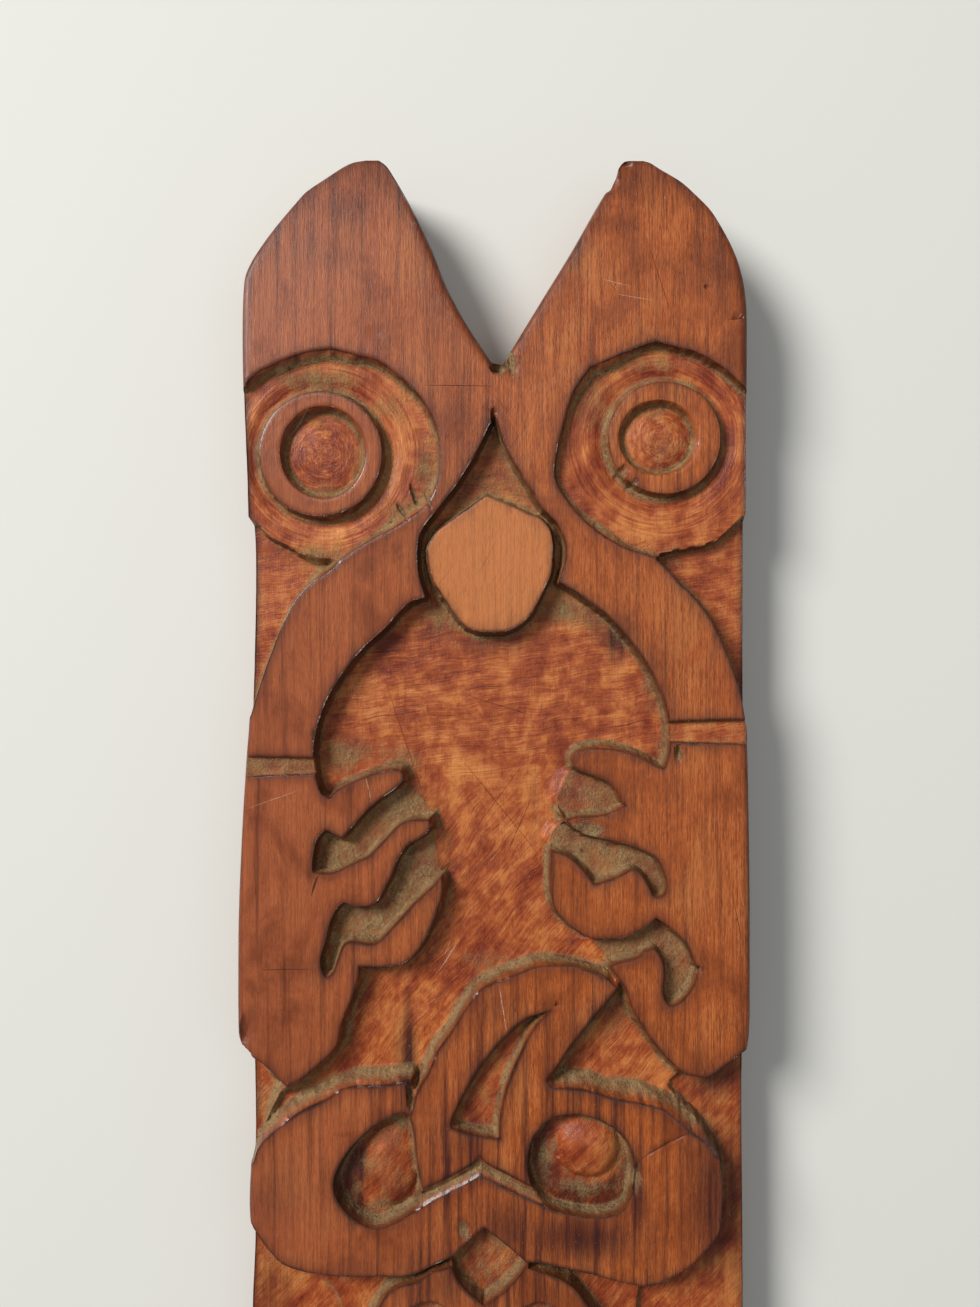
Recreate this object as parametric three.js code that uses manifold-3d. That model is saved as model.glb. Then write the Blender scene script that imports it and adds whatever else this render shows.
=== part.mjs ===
import * as THREE from 'three';
import { mergeVertices } from 'three/addons/utils/BufferGeometryUtils.js';
import Module from 'manifold-3d';

// A carved wooden panel lying on its back: millimetres, +Z up, +Y towards the ears.
const panelLength = 380;
const panelThickness = 20;
const edgeRound = 1.8;
const pointSpacing = 3.2;
const aboveFace = 3;
const smallestDetail = 0.02;

// Depths below the front face.
const eyeBandDepth = 2.6;
const upperGroundDepth = 5.6;
const chestDepth = 4.8;
const noseHollowDepth = 4.2;
const fingerGapDepth = 3.6;
const armBandDepth = 1.3;
const pocketDepth = 5;
const lowGroundDepth = 6.6;
const shoulderDepth = 5;
const tuskDepth = 3.4;
const lowEyeDepth = 4.4;
const browDepth = 1.7;
const diamondDepth = 4;
const smallEyeDepth = 2.6;
const smallMouthDepth = 2;

// How far a cut wall leans in from its upper edge to its foot.
const wallLean = 0.7;
const grooveLean = 1.1;
const armBandLean = 0.4;

// Every outline is a list of [across, down]: across from the middle of the board, down from the ear tips.
// A third value of 1 marks a corner, and a smooth curve runs through the points between corners.
// Where two hollows meet, each runs on a little way into the other, so no ridge is left between them.
const boardOutline = [
  [-29, 0, 1], [-32.25, 0, 1], [-36, 0.75], [-43, 5], [-47.25, 8], [-50, 11], [-55.25, 17.25],
  [-58.75, 22], [-61.25, 26], [-62.6, 29.25], [-63.1, 34], [-63.3, 46], [-63, 61], [-62.25, 80],
  [-62, 89.5, 1], [-61.25, 91], [-61.5, 139], [-62.25, 150], [-63.25, 166], [-64.25, 190],
  [-64.4, 212, 1], [-64.1, 220.5], [-63.5, 222.25, 1], [-61.25, 224.5, 1], [-61, 248], [-61.5, 262],
  [-61.1, 272], [-61.75, 290], [-62.2, 330], [-62, 380, 1], [62.5, 380, 1], [63.5, 330], [63.75, 288],
  [63.6, 225], [64.1, 220.75], [64.4, 215, 1], [64.4, 186, 1], [64, 158], [63.5, 136], [63.6, 61],
  [63.5, 36], [62.75, 30.5], [61.5, 25.75], [59.75, 21.5], [57.5, 17.25], [54.5, 12.6], [51, 9],
  [47.25, 5.5], [41.5, 2], [39.25, 0.6], [37.5, 0.1, 1], [32.75, 0.4], [31.5, 1.75], [31, 3.75],
  [29.4, 7.4, 1], [27.9, 8.5, 1], [25.5, 12.5], [19.25, 23.5], [12.5, 34.5], [5.5, 46],
  [2.25, 51.4, 1], [-0.5, 51, 1], [-2.5, 48], [-6, 42.75], [-11.75, 32.25], [-16, 21.5], [-21, 11.5],
  [-25.5, 3.75], [-27.25, 1.25],
];

const leftEyeOutline = [
  [-67, 58.5, 1], [-62.25, 56.5], [-59.5, 54], [-55.75, 52], [-48.75, 49.25], [-41, 48],
  [-34.25, 49.5], [-29.25, 50.75], [-23.5, 55], [-18, 60.75], [-14.75, 66.75], [-13.5, 72.5],
  [-14, 80.25], [-16.5, 86.5], [-23.5, 91.75], [-33, 97], [-39, 101.25, 1], [-43, 101.5, 1],
  [-47.5, 100.8], [-54.5, 98], [-61, 93.3], [-67, 89, 1],
];

const rightEyeOutline = [
  [67, 60, 1], [63, 57.5], [57, 52.25], [50.25, 48.5], [45.25, 47.25], [40.25, 46, 1], [35.25, 47.75],
  [27.75, 51], [24, 52.5, 1], [19.5, 59.5], [17, 67.75], [15.25, 76], [15.25, 80.5], [18.25, 86],
  [24, 92], [31.5, 97], [40.5, 100, 1], [42.5, 101, 1], [47, 100], [54.8, 98.4], [58.6, 96.5],
  [64, 91.8], [67, 89.3, 1],
];

const upperLeftGroundOutline = [
  [-67, 86, 1], [-60.25, 90.6], [-54.5, 95.5], [-47.5, 98.25], [-43, 99], [-39.25, 99, 1],
  [-38.5, 101.25, 1], [-41.5, 103.75], [-44.75, 105.75], [-49.25, 110.25], [-51.75, 114.5],
  [-55.5, 123.5], [-58.75, 132.75], [-61.5, 141], [-67, 150, 1],
];

const upperRightGroundOutline = [
  [67, 86.5, 1], [62.5, 89.5], [57, 94.5], [54, 96], [46.5, 97.5], [41.5, 98.25, 1], [40.5, 100.5, 1],
  [43.75, 103.5], [46.5, 106.5], [49.5, 109.25], [52.25, 112.5], [55, 117], [59, 126.25], [61.75, 135],
  [63.5, 143.5], [67, 155, 1],
];

const noseHollowOutline = [
  [0, 62.75, 1], [1.1, 67], [4, 74.5], [9, 82.75], [11.5, 87], [16, 92], [18, 97], [17.75, 102],
  [16.4, 106.25, 1], [13, 114, 1], [-13.5, 116, 1], [-17.25, 110, 1], [-18.75, 105], [-19.25, 99.5],
  [-18.5, 94], [-14, 87.75], [-9, 81.25], [-4, 72.75], [-0.75, 65.75],
];

const noseOutline = [
  [-2, 84.5, 1], [3, 86.5], [7.75, 88.75], [11.5, 90.25], [13.75, 92.75], [14.6, 96], [14.25, 104],
  [12.75, 107.5], [9, 114.5], [6.5, 117], [3.5, 118.5], [-2.75, 118.75], [-6, 118], [-8.5, 116],
  [-13, 109.5], [-15.5, 105], [-16.6, 100], [-16.5, 97.75], [-14.25, 93.5], [-11.75, 91.5],
];

// The hollow between the arms, the hands, the arch and the left cheek.
const chestOutline = [
  [16.4, 106.25, 1], [21.5, 109.5], [27.5, 113.75], [32, 118.25], [36.5, 124.25], [41, 131.75],
  [43.25, 138.5], [44, 143], [43.75, 149.5], [42.5, 153, 1], [39, 151.5], [34, 149], [28, 148],
  [24, 148], [20.5, 149], [19.75, 150.75], [20, 152.25, 1], [16, 162], [17.75, 166, 1], [14.5, 170],
  [14.25, 173.5, 1], [14.25, 183.5], [15.25, 188], [19, 192.25], [22, 194.25], [24.5, 195.5, 1],
  [29.25, 202.25, 1], [28, 205.25, 1], [25.75, 204.25], [20.25, 202.6], [16.25, 202.25], [10, 202.75],
  [4.25, 205], [-0.75, 206.75], [-3.25, 208.25], [-7, 213], [-11.5, 220], [-14, 223.5],
  [-15.6, 227.25], [-16.75, 229.75], [-19.25, 234.25], [-20.5, 239.5, 1], [-20.75, 230.75, 1],
  [-25.75, 232], [-37.5, 233], [-41.5, 235.5], [-48.75, 239], [-54.5, 243.25], [-57.5, 246],
  [-59, 248, 1], [-59.5, 242, 1], [-54.6, 233.2, 1], [-51.75, 232.5, 1], [-46.25, 229],
  [-41.5, 224.75], [-39.5, 222], [-38.25, 216.75], [-35.5, 210], [-34, 205], [-33.75, 202.5, 1],
  [-28.5, 202.6], [-22.25, 201.5], [-18, 197], [-14.5, 189.5], [-13, 183.5], [-13.25, 180, 1],
  [-15, 172], [-16, 167, 1], [-18, 161], [-22.75, 155.75, 1], [-23, 154], [-24.5, 153.25],
  [-28.5, 153.75], [-34.5, 156], [-40, 159], [-41, 160.5, 1], [-43, 159.5], [-44.5, 155.75],
  [-45.25, 150], [-44.75, 144.5], [-43.5, 140], [-41.5, 135], [-36.75, 127.5], [-32, 122],
  [-27.5, 118], [-23.25, 113.25], [-21, 111.25], [-17.25, 110, 1], [-18.2, 105.5, 1], [-12, 100, 1],
  [12, 98, 1], [17, 102.5, 1],
];

const leftUpperGapOutline = [
  [-22.75, 155.75, 1], [-24.5, 157.75], [-29.5, 161.25], [-32, 163.5], [-36.75, 169],
  [-38.25, 170.5, 1], [-40.5, 169.1], [-42, 168.4], [-44.25, 170.75], [-45.5, 176.5], [-45.5, 179, 1],
  [-41.5, 179.25], [-39.5, 178.75], [-34.25, 176.25], [-31.5, 175], [-27.75, 171.25], [-23.5, 167],
  [-21, 165.9], [-16.5, 165.75, 1], [-12.5, 162, 1], [-17, 156, 1],
];

const leftLowerGapOutline = [
  [-16, 167.5, 1], [-17, 169.25], [-21, 171.75], [-22.5, 173.25], [-24, 175.75], [-26.5, 181.25],
  [-30, 186.75], [-35, 187.4, 1], [-37.5, 186.5], [-39, 187.5], [-41, 191.25], [-42.25, 196.5],
  [-43.5, 200.75], [-43.1, 203.75], [-41.9, 205.25], [-40.25, 204], [-39, 200.75], [-37, 196.6],
  [-31.5, 196.75], [-29.25, 196.4], [-24.75, 192], [-20.25, 187], [-15.5, 182.6], [-13.25, 180, 1],
  [-10.25, 177, 1], [-11, 170, 1],
];

const rightUpperGapOutline = [
  [20, 152.25, 1], [21.25, 153.25], [24, 154.25], [28.25, 156], [30.5, 158.25], [31.75, 160.75],
  [33, 162.25, 1], [31, 163.25], [29, 164.25], [26.5, 164.75], [20, 165.25], [17.75, 166, 1],
  [13.5, 161, 1], [15, 154, 1],
];

const rightMiddleGapOutline = [
  [17.75, 166, 1], [20, 167.75], [22.5, 169.25], [26.5, 170.25], [33, 171.75], [36, 172.75],
  [39, 174.25], [41, 175.75], [42.5, 179], [43.25, 182], [42.25, 184.75], [40, 185], [38.5, 182.25],
  [36.25, 179], [34.5, 178.25], [30.5, 180.25], [25, 182, 1], [22, 178.25], [18, 174.75],
  [14.25, 173.5, 1], [11.5, 171, 1], [13, 167, 1],
];

const rightLowerGapOutline = [
  [24.5, 195.5, 1], [29, 195.4], [32.5, 195.25], [35.5, 193.75], [38.5, 192], [40.5, 190.25, 1],
  [42.5, 191.5], [47.5, 196.25], [50, 201.25], [51, 203.75], [49.25, 208.25], [46, 211.75],
  [44, 212.25], [42.5, 210.5], [42.25, 207], [42.5, 204.5], [42, 201.25], [40, 198.25], [38, 198.75],
  [36, 200.25], [30.5, 201.75], [29.25, 202.25, 1], [24, 201, 1], [20, 196, 1],
];

// The three-cornered pocket between the arch, the right hand and the right cheek.
const rightPocketOutline = [
  [28, 201.5, 1], [29.25, 202.25, 1], [31.25, 205.5], [33, 208], [34, 211], [36, 215.5], [39, 220.25],
  [42.75, 225], [46.75, 228.5], [49.5, 229.75], [53.25, 230.25, 1], [57.5, 240, 1], [56, 250.75, 1],
  [53.25, 247], [49, 243.75], [44.5, 240], [42, 238.25], [37, 236.9], [29.75, 235.6], [22.5, 233.5],
  [14.5, 233, 1], [13, 231, 1], [18.75, 223], [23.5, 217], [29, 210.25], [30.75, 207.75, 1],
  [28, 205.25, 1], [25.75, 204.25, 1],
];

const lowerRightGroundOutline = [
  [67, 221, 1], [63.6, 223], [57.75, 227.1], [53.25, 230.25, 1], [49.5, 230], [46, 230.75],
  [43.75, 233], [43.25, 234.5, 1], [45.5, 236.75], [49, 240.25], [53, 245], [56.25, 250.5], [57, 254],
  [57.2, 258], [57, 264], [56, 269.75], [54, 272.25], [50, 276.75], [46, 279.5], [43, 281.1],
  [39.75, 282.25], [37.25, 282.5, 1], [36.25, 285], [35.5, 292], [35.75, 305], [37, 322], [41, 336, 1],
  [54, 337.5], [67, 338, 1],
];

const lowerLeftGroundOutline = [
  [-67, 219, 1], [-63.5, 222.5], [-61.25, 224.5], [-57.25, 227.25], [-53.5, 231], [-51.75, 232.5, 1],
  [-52.25, 234], [-54.75, 239], [-57.75, 245.25], [-59.25, 248.25], [-60.75, 252.25], [-67, 257, 1],
];

const footLeftGroundOutline = [
  [-67, 266.5, 1], [-61.25, 266.5], [-59.9, 268.25], [-57.75, 271.6], [-53.25, 277, 1], [-50.5, 280],
  [-46.5, 281.75], [-43.5, 282.75], [-41, 284.5], [-39, 287.5], [-37.5, 293], [-37, 305], [-38, 322],
  [-42, 336, 1], [-54, 337.5], [-67, 338, 1],
];

// The lower ground on both sides of the small head under the cheeks.
const leftShoulderOutline = [
  [-56, 273.9, 1], [-53.5, 276.5], [-48.5, 278.5], [-40.25, 279.8], [-28, 280], [-21, 279.75],
  [-15.75, 277.4], [-10.9, 275.25, 1], [-10.5, 277.5, 1], [-12.5, 278], [-15.75, 279], [-18.6, 281],
  [-21.9, 281.9], [-24.75, 283], [-27.25, 285.1], [-28.75, 287.5], [-31.5, 293], [-33, 301],
  [-32.25, 309], [-29, 317], [-23.5, 323.5], [-15, 328], [-6, 330], [3, 330.2, 1], [3, 336.5, 1],
  [-46, 337, 1], [-46, 300, 1],
];

const rightShoulderOutline = [
  [8.6, 276.3, 1], [11.75, 276.6], [15, 277.25], [25, 279.6], [31, 281.25], [37.25, 282.5, 1],
  [41, 290, 1], [44, 337, 1], [-3, 336.5, 1], [-3, 330.2, 1], [8, 329.75], [16, 327.5], [24, 322.5],
  [29, 315.5], [31, 307.5], [30.5, 299], [27.5, 292.5], [23.5, 287.5], [20.25, 283.25], [17.5, 281.25],
  [15, 280], [12.25, 279.25], [8.6, 278, 1],
];

const tuskOutline = [
  [14, 213.5, 1], [9, 215], [3.5, 219.25], [-2.5, 226.25], [-7.75, 234.5], [-10.9, 241.5],
  [-10.75, 243, 1], [-5.25, 244.75], [1.4, 245.6, 1], [1.6, 240.75], [3.1, 233.25], [6.25, 225.25],
  [9.75, 218.5],
];

const halfMoonEyeOutline = [
  [-21, 239.75, 1], [-23.1, 239.1], [-28, 241], [-33.75, 245.5], [-38.25, 251.25], [-40.25, 257],
  [-38.5, 262.25], [-33.25, 267], [-29.5, 268.1], [-24, 266], [-18.6, 262.6, 1], [-17.75, 258.25, 1],
  [-19, 252.5], [-20, 244.5],
];

const domedEyeOutline = [
  [19, 239.4], [27, 241.25], [33, 246], [35, 251.5], [34.75, 257.25], [32.25, 263.25], [27, 265.25],
  [19, 264.6], [12.75, 262.25], [9.75, 258.25], [8.25, 251.75], [9.75, 245.25], [14, 240.5],
];

const browOutline = [
  [-20, 259, 1], [-11, 254.75], [-5.5, 251.6], [-3.5, 249.75, 1], [-2, 251.4], [3.75, 254.5],
  [11, 258.2], [14, 259.5, 1], [17, 264.2, 1], [11, 261.75], [4.5, 258.75], [-3.5, 254.75, 1],
  [-11, 258.75], [-15, 260.75], [-20, 264, 1],
];

const diamondOutline = [
  [-2.5, 267.6, 1], [6.25, 274.75], [8.6, 277, 1], [3, 283.25], [-2.5, 287.5, 1], [-9, 281.25],
  [-11.25, 275.75, 1], [-7, 271.5],
];

const leftArmBandOutline = [[-67, 149.6, 1], [-44, 150.25, 1], [-43, 154.25, 1], [-67, 155.1, 1]];
const rightArmBandOutline = [[42.5, 141.25, 1], [67, 140.4, 1], [67, 147, 1], [42.5, 146.25, 1]];

// Round parts as [across, down, half width, half height].
const leftRing = [-43.4, 74.2, 15.3, 15.6];
const leftPupil = [-42.8, 73.8, 10.8, 11.6];
const rightRing = [42.75, 70, 14, 14];
const rightPupil = [41.2, 70, 10.1, 9.5];
const smallLeftEye = [-16.5, 292.5, 6.2, 6.2];
const smallRightEye = [11.5, 292.25, 6, 6];
const smallMouth = [-2, 314, 12, 4.4];

const rightRingDrop = 0.5;
const roundSides = 44;
const smallRoundSides = 26;

const wasm = await Module();
wasm.setup();

function toPlane(point) {
  return new THREE.Vector3(point[0], panelLength / 2 - point[1], 0);
}

// Points along a smooth curve through one run of an outline, without its last point. Two points give a line.
function curvePoints(run, closed) {
  const places = run.map(toPlane);
  if (places.length === 2) {
    return [new THREE.Vector2(places[0].x, places[0].y)];
  }
  const curve = new THREE.CatmullRomCurve3(places, closed, 'centripetal');
  const spans = closed ? places.length : places.length - 1;
  const points = [];
  for (let span = 0; span < spans; span += 1) {
    const length = places[span].distanceTo(places[(span + 1) % places.length]);
    const parts = Math.max(1, Math.round(length / pointSpacing));
    for (let part = 0; part < parts; part += 1) {
      const place = curve.getPoint((span + part / parts) / spans);
      points.push(new THREE.Vector2(place.x, place.y));
    }
  }
  return points;
}

function outlinePoints(outline) {
  const first = outline.findIndex((point) => point[2] === 1);
  if (first < 0) {
    return curvePoints(outline, true);
  }
  const turned = [...outline.slice(first), ...outline.slice(0, first + 1)];
  const points = [];
  let run = [turned[0]];
  for (const point of turned.slice(1)) {
    run.push(point);
    if (point[2] === 1) {
      points.push(...curvePoints(run, false));
      run = [point];
    }
  }
  return points;
}

// A closed solid from a triangle surface, with its shared corners joined.
function toSolid(geometry) {
  const bare = new THREE.BufferGeometry();
  bare.setAttribute('position', geometry.getAttribute('position'));
  bare.setIndex(geometry.getIndex());
  const joined = mergeVertices(bare, 0.0001);
  const corners = joined.getIndex().array;
  const kept = [];
  for (let i = 0; i < corners.length; i += 3) {
    const [a, b, c] = [corners[i], corners[i + 1], corners[i + 2]];
    if (a !== b && b !== c && c !== a) {
      kept.push(a, b, c);
    }
  }
  const mesh = new wasm.Mesh({
    numProp: 3,
    vertProperties: new Float32Array(joined.getAttribute('position').array),
    triVerts: new Uint32Array(kept),
  });
  return new wasm.Manifold(mesh);
}

// The blank: the outline cut through the board, with its front and back edges rounded.
function boardSolid() {
  const geometry = new THREE.ExtrudeGeometry(new THREE.Shape(outlinePoints(boardOutline)), {
    depth: panelThickness - 2 * edgeRound,
    bevelEnabled: true,
    bevelThickness: edgeRound,
    bevelSize: edgeRound,
    bevelOffset: -edgeRound,
    bevelSegments: 2,
  });
  geometry.translate(0, 0, edgeRound);
  return toSolid(geometry);
}

// How far each point of an outline can move inwards before it meets the far side of a narrow place.
function inwardMoves(points, lean) {
  const count = points.length;
  return points.map((point, i) => {
    const before = points[(i + count - 1) % count];
    const after = points[(i + 1) % count];
    const along = after.clone().sub(before).normalize();
    const inward = new THREE.Vector2(-along.y, along.x);
    let room = Infinity;
    for (const other of points) {
      const offset = other.clone().sub(point);
      const ahead = offset.dot(inward);
      if (ahead > 0.001) {
        room = Math.min(room, offset.lengthSq() / (2 * ahead));
      }
    }
    return inward.multiplyScalar(Math.min(lean, 0.5 * room));
  });
}

// A carved hollow: its walls lean in from the outline at the front face to a flat floor.
function hollow(outline, depth, lean = wallLean) {
  const rim = outlinePoints(outline);
  if (THREE.ShapeUtils.isClockWise(rim)) {
    rim.reverse();
  }
  const moves = inwardMoves(rim, lean);
  const count = rim.length;
  const layers = [[panelThickness - depth, 1], [panelThickness, 0], [panelThickness + aboveFace, 0]];
  const places = layers.flatMap(([height, share]) => rim.flatMap((point, i) => [
    point.x + share * moves[i].x, point.y + share * moves[i].y, height,
  ]));
  const triangles = [];
  for (const [a, b, c] of THREE.ShapeUtils.triangulateShape(rim, [])) {
    triangles.push(a, c, b);
    triangles.push(2 * count + a, 2 * count + b, 2 * count + c);
  }
  for (const low of [0, count]) {
    for (let i = 0; i < count; i += 1) {
      const next = (i + 1) % count;
      triangles.push(low + i, low + next, low + count + next);
      triangles.push(low + i, low + count + next, low + count + i);
    }
  }
  const geometry = new THREE.BufferGeometry();
  geometry.setAttribute('position', new THREE.Float32BufferAttribute(places, 3));
  geometry.setIndex(triangles);
  return toSolid(geometry);
}

// A straight-sided part left standing in a hollow.
function standing(outline) {
  const geometry = new THREE.ExtrudeGeometry(new THREE.Shape(outlinePoints(outline)), {
    depth: pocketDepth + 2 * aboveFace,
    bevelEnabled: false,
  });
  geometry.translate(0, 0, panelThickness - pocketDepth - aboveFace);
  return toSolid(geometry);
}

// A round post or round hollow with a leaning side: its foot is wider or narrower by the growth.
function roundSolid(place, bottom, top, footGrowth, sides = roundSides) {
  const [across, down, halfWidth, halfHeight] = place;
  const geometry = new THREE.CylinderGeometry(1, 1 + footGrowth / halfHeight, top - bottom, sides);
  geometry.rotateX(Math.PI / 2);
  geometry.scale(halfWidth, halfHeight, 1);
  geometry.translate(across, panelLength / 2 - down, panelThickness + (top + bottom) / 2);
  return toSolid(geometry);
}

// A low dome rising from the floor of a hollow.
function dome(across, down, halfWidth, halfHeight, floorDepth, rise) {
  const geometry = new THREE.SphereGeometry(1, 28, 12);
  geometry.rotateX(Math.PI / 2);
  geometry.scale(halfWidth, halfHeight, rise);
  geometry.translate(across, panelLength / 2 - down, panelThickness - floorDepth);
  return toSolid(geometry);
}

function joinAll(solids) {
  return solids.reduce((total, solid) => total.add(solid));
}

// An eye: a sunk band, a ring left standing in it, and a pupil hollow with a low dome.
function eyeCut(outline, ring, ringTop, pupil, pupilDepth) {
  const band = hollow(outline, eyeBandDepth);
  const post = roundSolid(ring, -eyeBandDepth - 1, ringTop, 0.5);
  const pupilCut = roundSolid(pupil, -pupilDepth, aboveFace, -0.6);
  const [across, down, halfWidth, halfHeight] = pupil;
  const middle = dome(across, down, halfWidth - 1, halfHeight - 1, pupilDepth, 1.3);
  return band.subtract(post).add(pupilCut.subtract(middle));
}

function chestCut() {
  const nose = standing(noseOutline);
  return hollow(chestOutline, chestDepth).add(hollow(noseHollowOutline, noseHollowDepth)).subtract(nose);
}

function handCuts() {
  const leftGaps = [leftUpperGapOutline, leftLowerGapOutline];
  const rightGaps = [rightUpperGapOutline, rightMiddleGapOutline, rightLowerGapOutline];
  const gaps = [...leftGaps, ...rightGaps];
  return joinAll(gaps.map((outline) => hollow(outline, fingerGapDepth)));
}

function armBandCuts() {
  const bands = [leftArmBandOutline, rightArmBandOutline];
  return joinAll(bands.map((outline) => hollow(outline, armBandDepth, armBandLean)));
}

function groundCuts() {
  return joinAll([
    hollow(upperLeftGroundOutline, upperGroundDepth),
    hollow(upperRightGroundOutline, upperGroundDepth),
    hollow(rightPocketOutline, pocketDepth, grooveLean),
    hollow(lowerRightGroundOutline, lowGroundDepth),
    hollow(lowerLeftGroundOutline, lowGroundDepth),
    hollow(footLeftGroundOutline, lowGroundDepth),
    hollow(leftShoulderOutline, shoulderDepth),
    hollow(rightShoulderOutline, shoulderDepth),
  ]);
}

function lowFaceCuts() {
  const halfMoonEye = hollow(halfMoonEyeOutline, lowEyeDepth, grooveLean)
    .subtract(dome(-27.5, 254.5, 8, 9.5, lowEyeDepth, 2));
  const domedEye = hollow(domedEyeOutline, lowEyeDepth, grooveLean)
    .subtract(dome(23, 249.5, 9.6, 8.8, lowEyeDepth, 3.6));
  return joinAll([
    halfMoonEye,
    domedEye,
    hollow(tuskOutline, tuskDepth, grooveLean),
    hollow(browOutline, browDepth, grooveLean),
    hollow(diamondOutline, diamondDepth),
  ]);
}

function smallHeadCuts() {
  return joinAll([
    roundSolid(smallLeftEye, -smallEyeDepth, aboveFace, -0.7, smallRoundSides),
    roundSolid(smallRightEye, -smallEyeDepth, aboveFace, -0.7, smallRoundSides),
    roundSolid(smallMouth, -smallMouthDepth, aboveFace, -0.7, smallRoundSides),
  ]);
}

function panelSolid() {
  return boardSolid()
    .subtract(eyeCut(leftEyeOutline, leftRing, aboveFace, leftPupil, 3.2))
    .subtract(eyeCut(rightEyeOutline, rightRing, -rightRingDrop, rightPupil, 3.4))
    .subtract(chestCut())
    .subtract(handCuts())
    .subtract(armBandCuts())
    .subtract(groundCuts())
    .subtract(lowFaceCuts())
    .subtract(smallHeadCuts())
    .simplify(smallestDetail);
}

// Reddish brown wood under a satin varnish.
function varnishedWood() {
  const settings = { name: 'varnished_wood', color: 0x9c5835, roughness: 0.42, metalness: 0 };
  return new THREE.MeshStandardMaterial(settings);
}

function carvedPanel() {
  const cut = panelSolid().getMesh();
  const geometry = new THREE.BufferGeometry();
  geometry.setAttribute('position', new THREE.BufferAttribute(new Float32Array(cut.vertProperties), 3));
  geometry.setIndex(new THREE.BufferAttribute(new Uint32Array(cut.triVerts), 1));
  const faceted = geometry.toNonIndexed();
  faceted.computeVertexNormals();
  const mesh = new THREE.Mesh(faceted, varnishedWood());
  mesh.name = 'carved_panel';
  return mesh;
}

const group = new THREE.Group();
group.name = 'carved_tiki_panel';
group.add(carvedPanel());
export default group;
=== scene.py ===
import math

import bpy
import numpy as np
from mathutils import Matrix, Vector
from mathutils.geometry import delaunay_2d_cdt


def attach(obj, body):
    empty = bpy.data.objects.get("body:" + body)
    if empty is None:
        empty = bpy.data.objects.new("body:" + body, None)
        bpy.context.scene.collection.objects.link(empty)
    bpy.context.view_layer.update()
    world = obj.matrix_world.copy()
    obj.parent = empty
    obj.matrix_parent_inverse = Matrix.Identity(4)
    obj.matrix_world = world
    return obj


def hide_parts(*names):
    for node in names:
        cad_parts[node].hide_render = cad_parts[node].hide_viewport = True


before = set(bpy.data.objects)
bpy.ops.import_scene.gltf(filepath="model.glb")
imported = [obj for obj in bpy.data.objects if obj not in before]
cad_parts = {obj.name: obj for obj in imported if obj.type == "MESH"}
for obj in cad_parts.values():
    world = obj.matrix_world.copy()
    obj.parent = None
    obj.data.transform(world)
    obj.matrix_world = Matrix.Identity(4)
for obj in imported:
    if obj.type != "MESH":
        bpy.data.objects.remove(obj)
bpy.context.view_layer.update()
print("stage: frame loaded")

# Millimetres. Outlines are (across, down) from the middle of the board and its ear tips; a third value marks a corner.
panel = {
    "length": 380.0,
    "thickness": 20.0,
    "edgeRound": 1.8,
    "rimReach": 0.4,
    "rimDrop": 0.13,
    "boardStep": 0.8,
    "rimStep": 0.42,
    "fillStep": 1.25,
    "earEase": 1.5,
}

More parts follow.
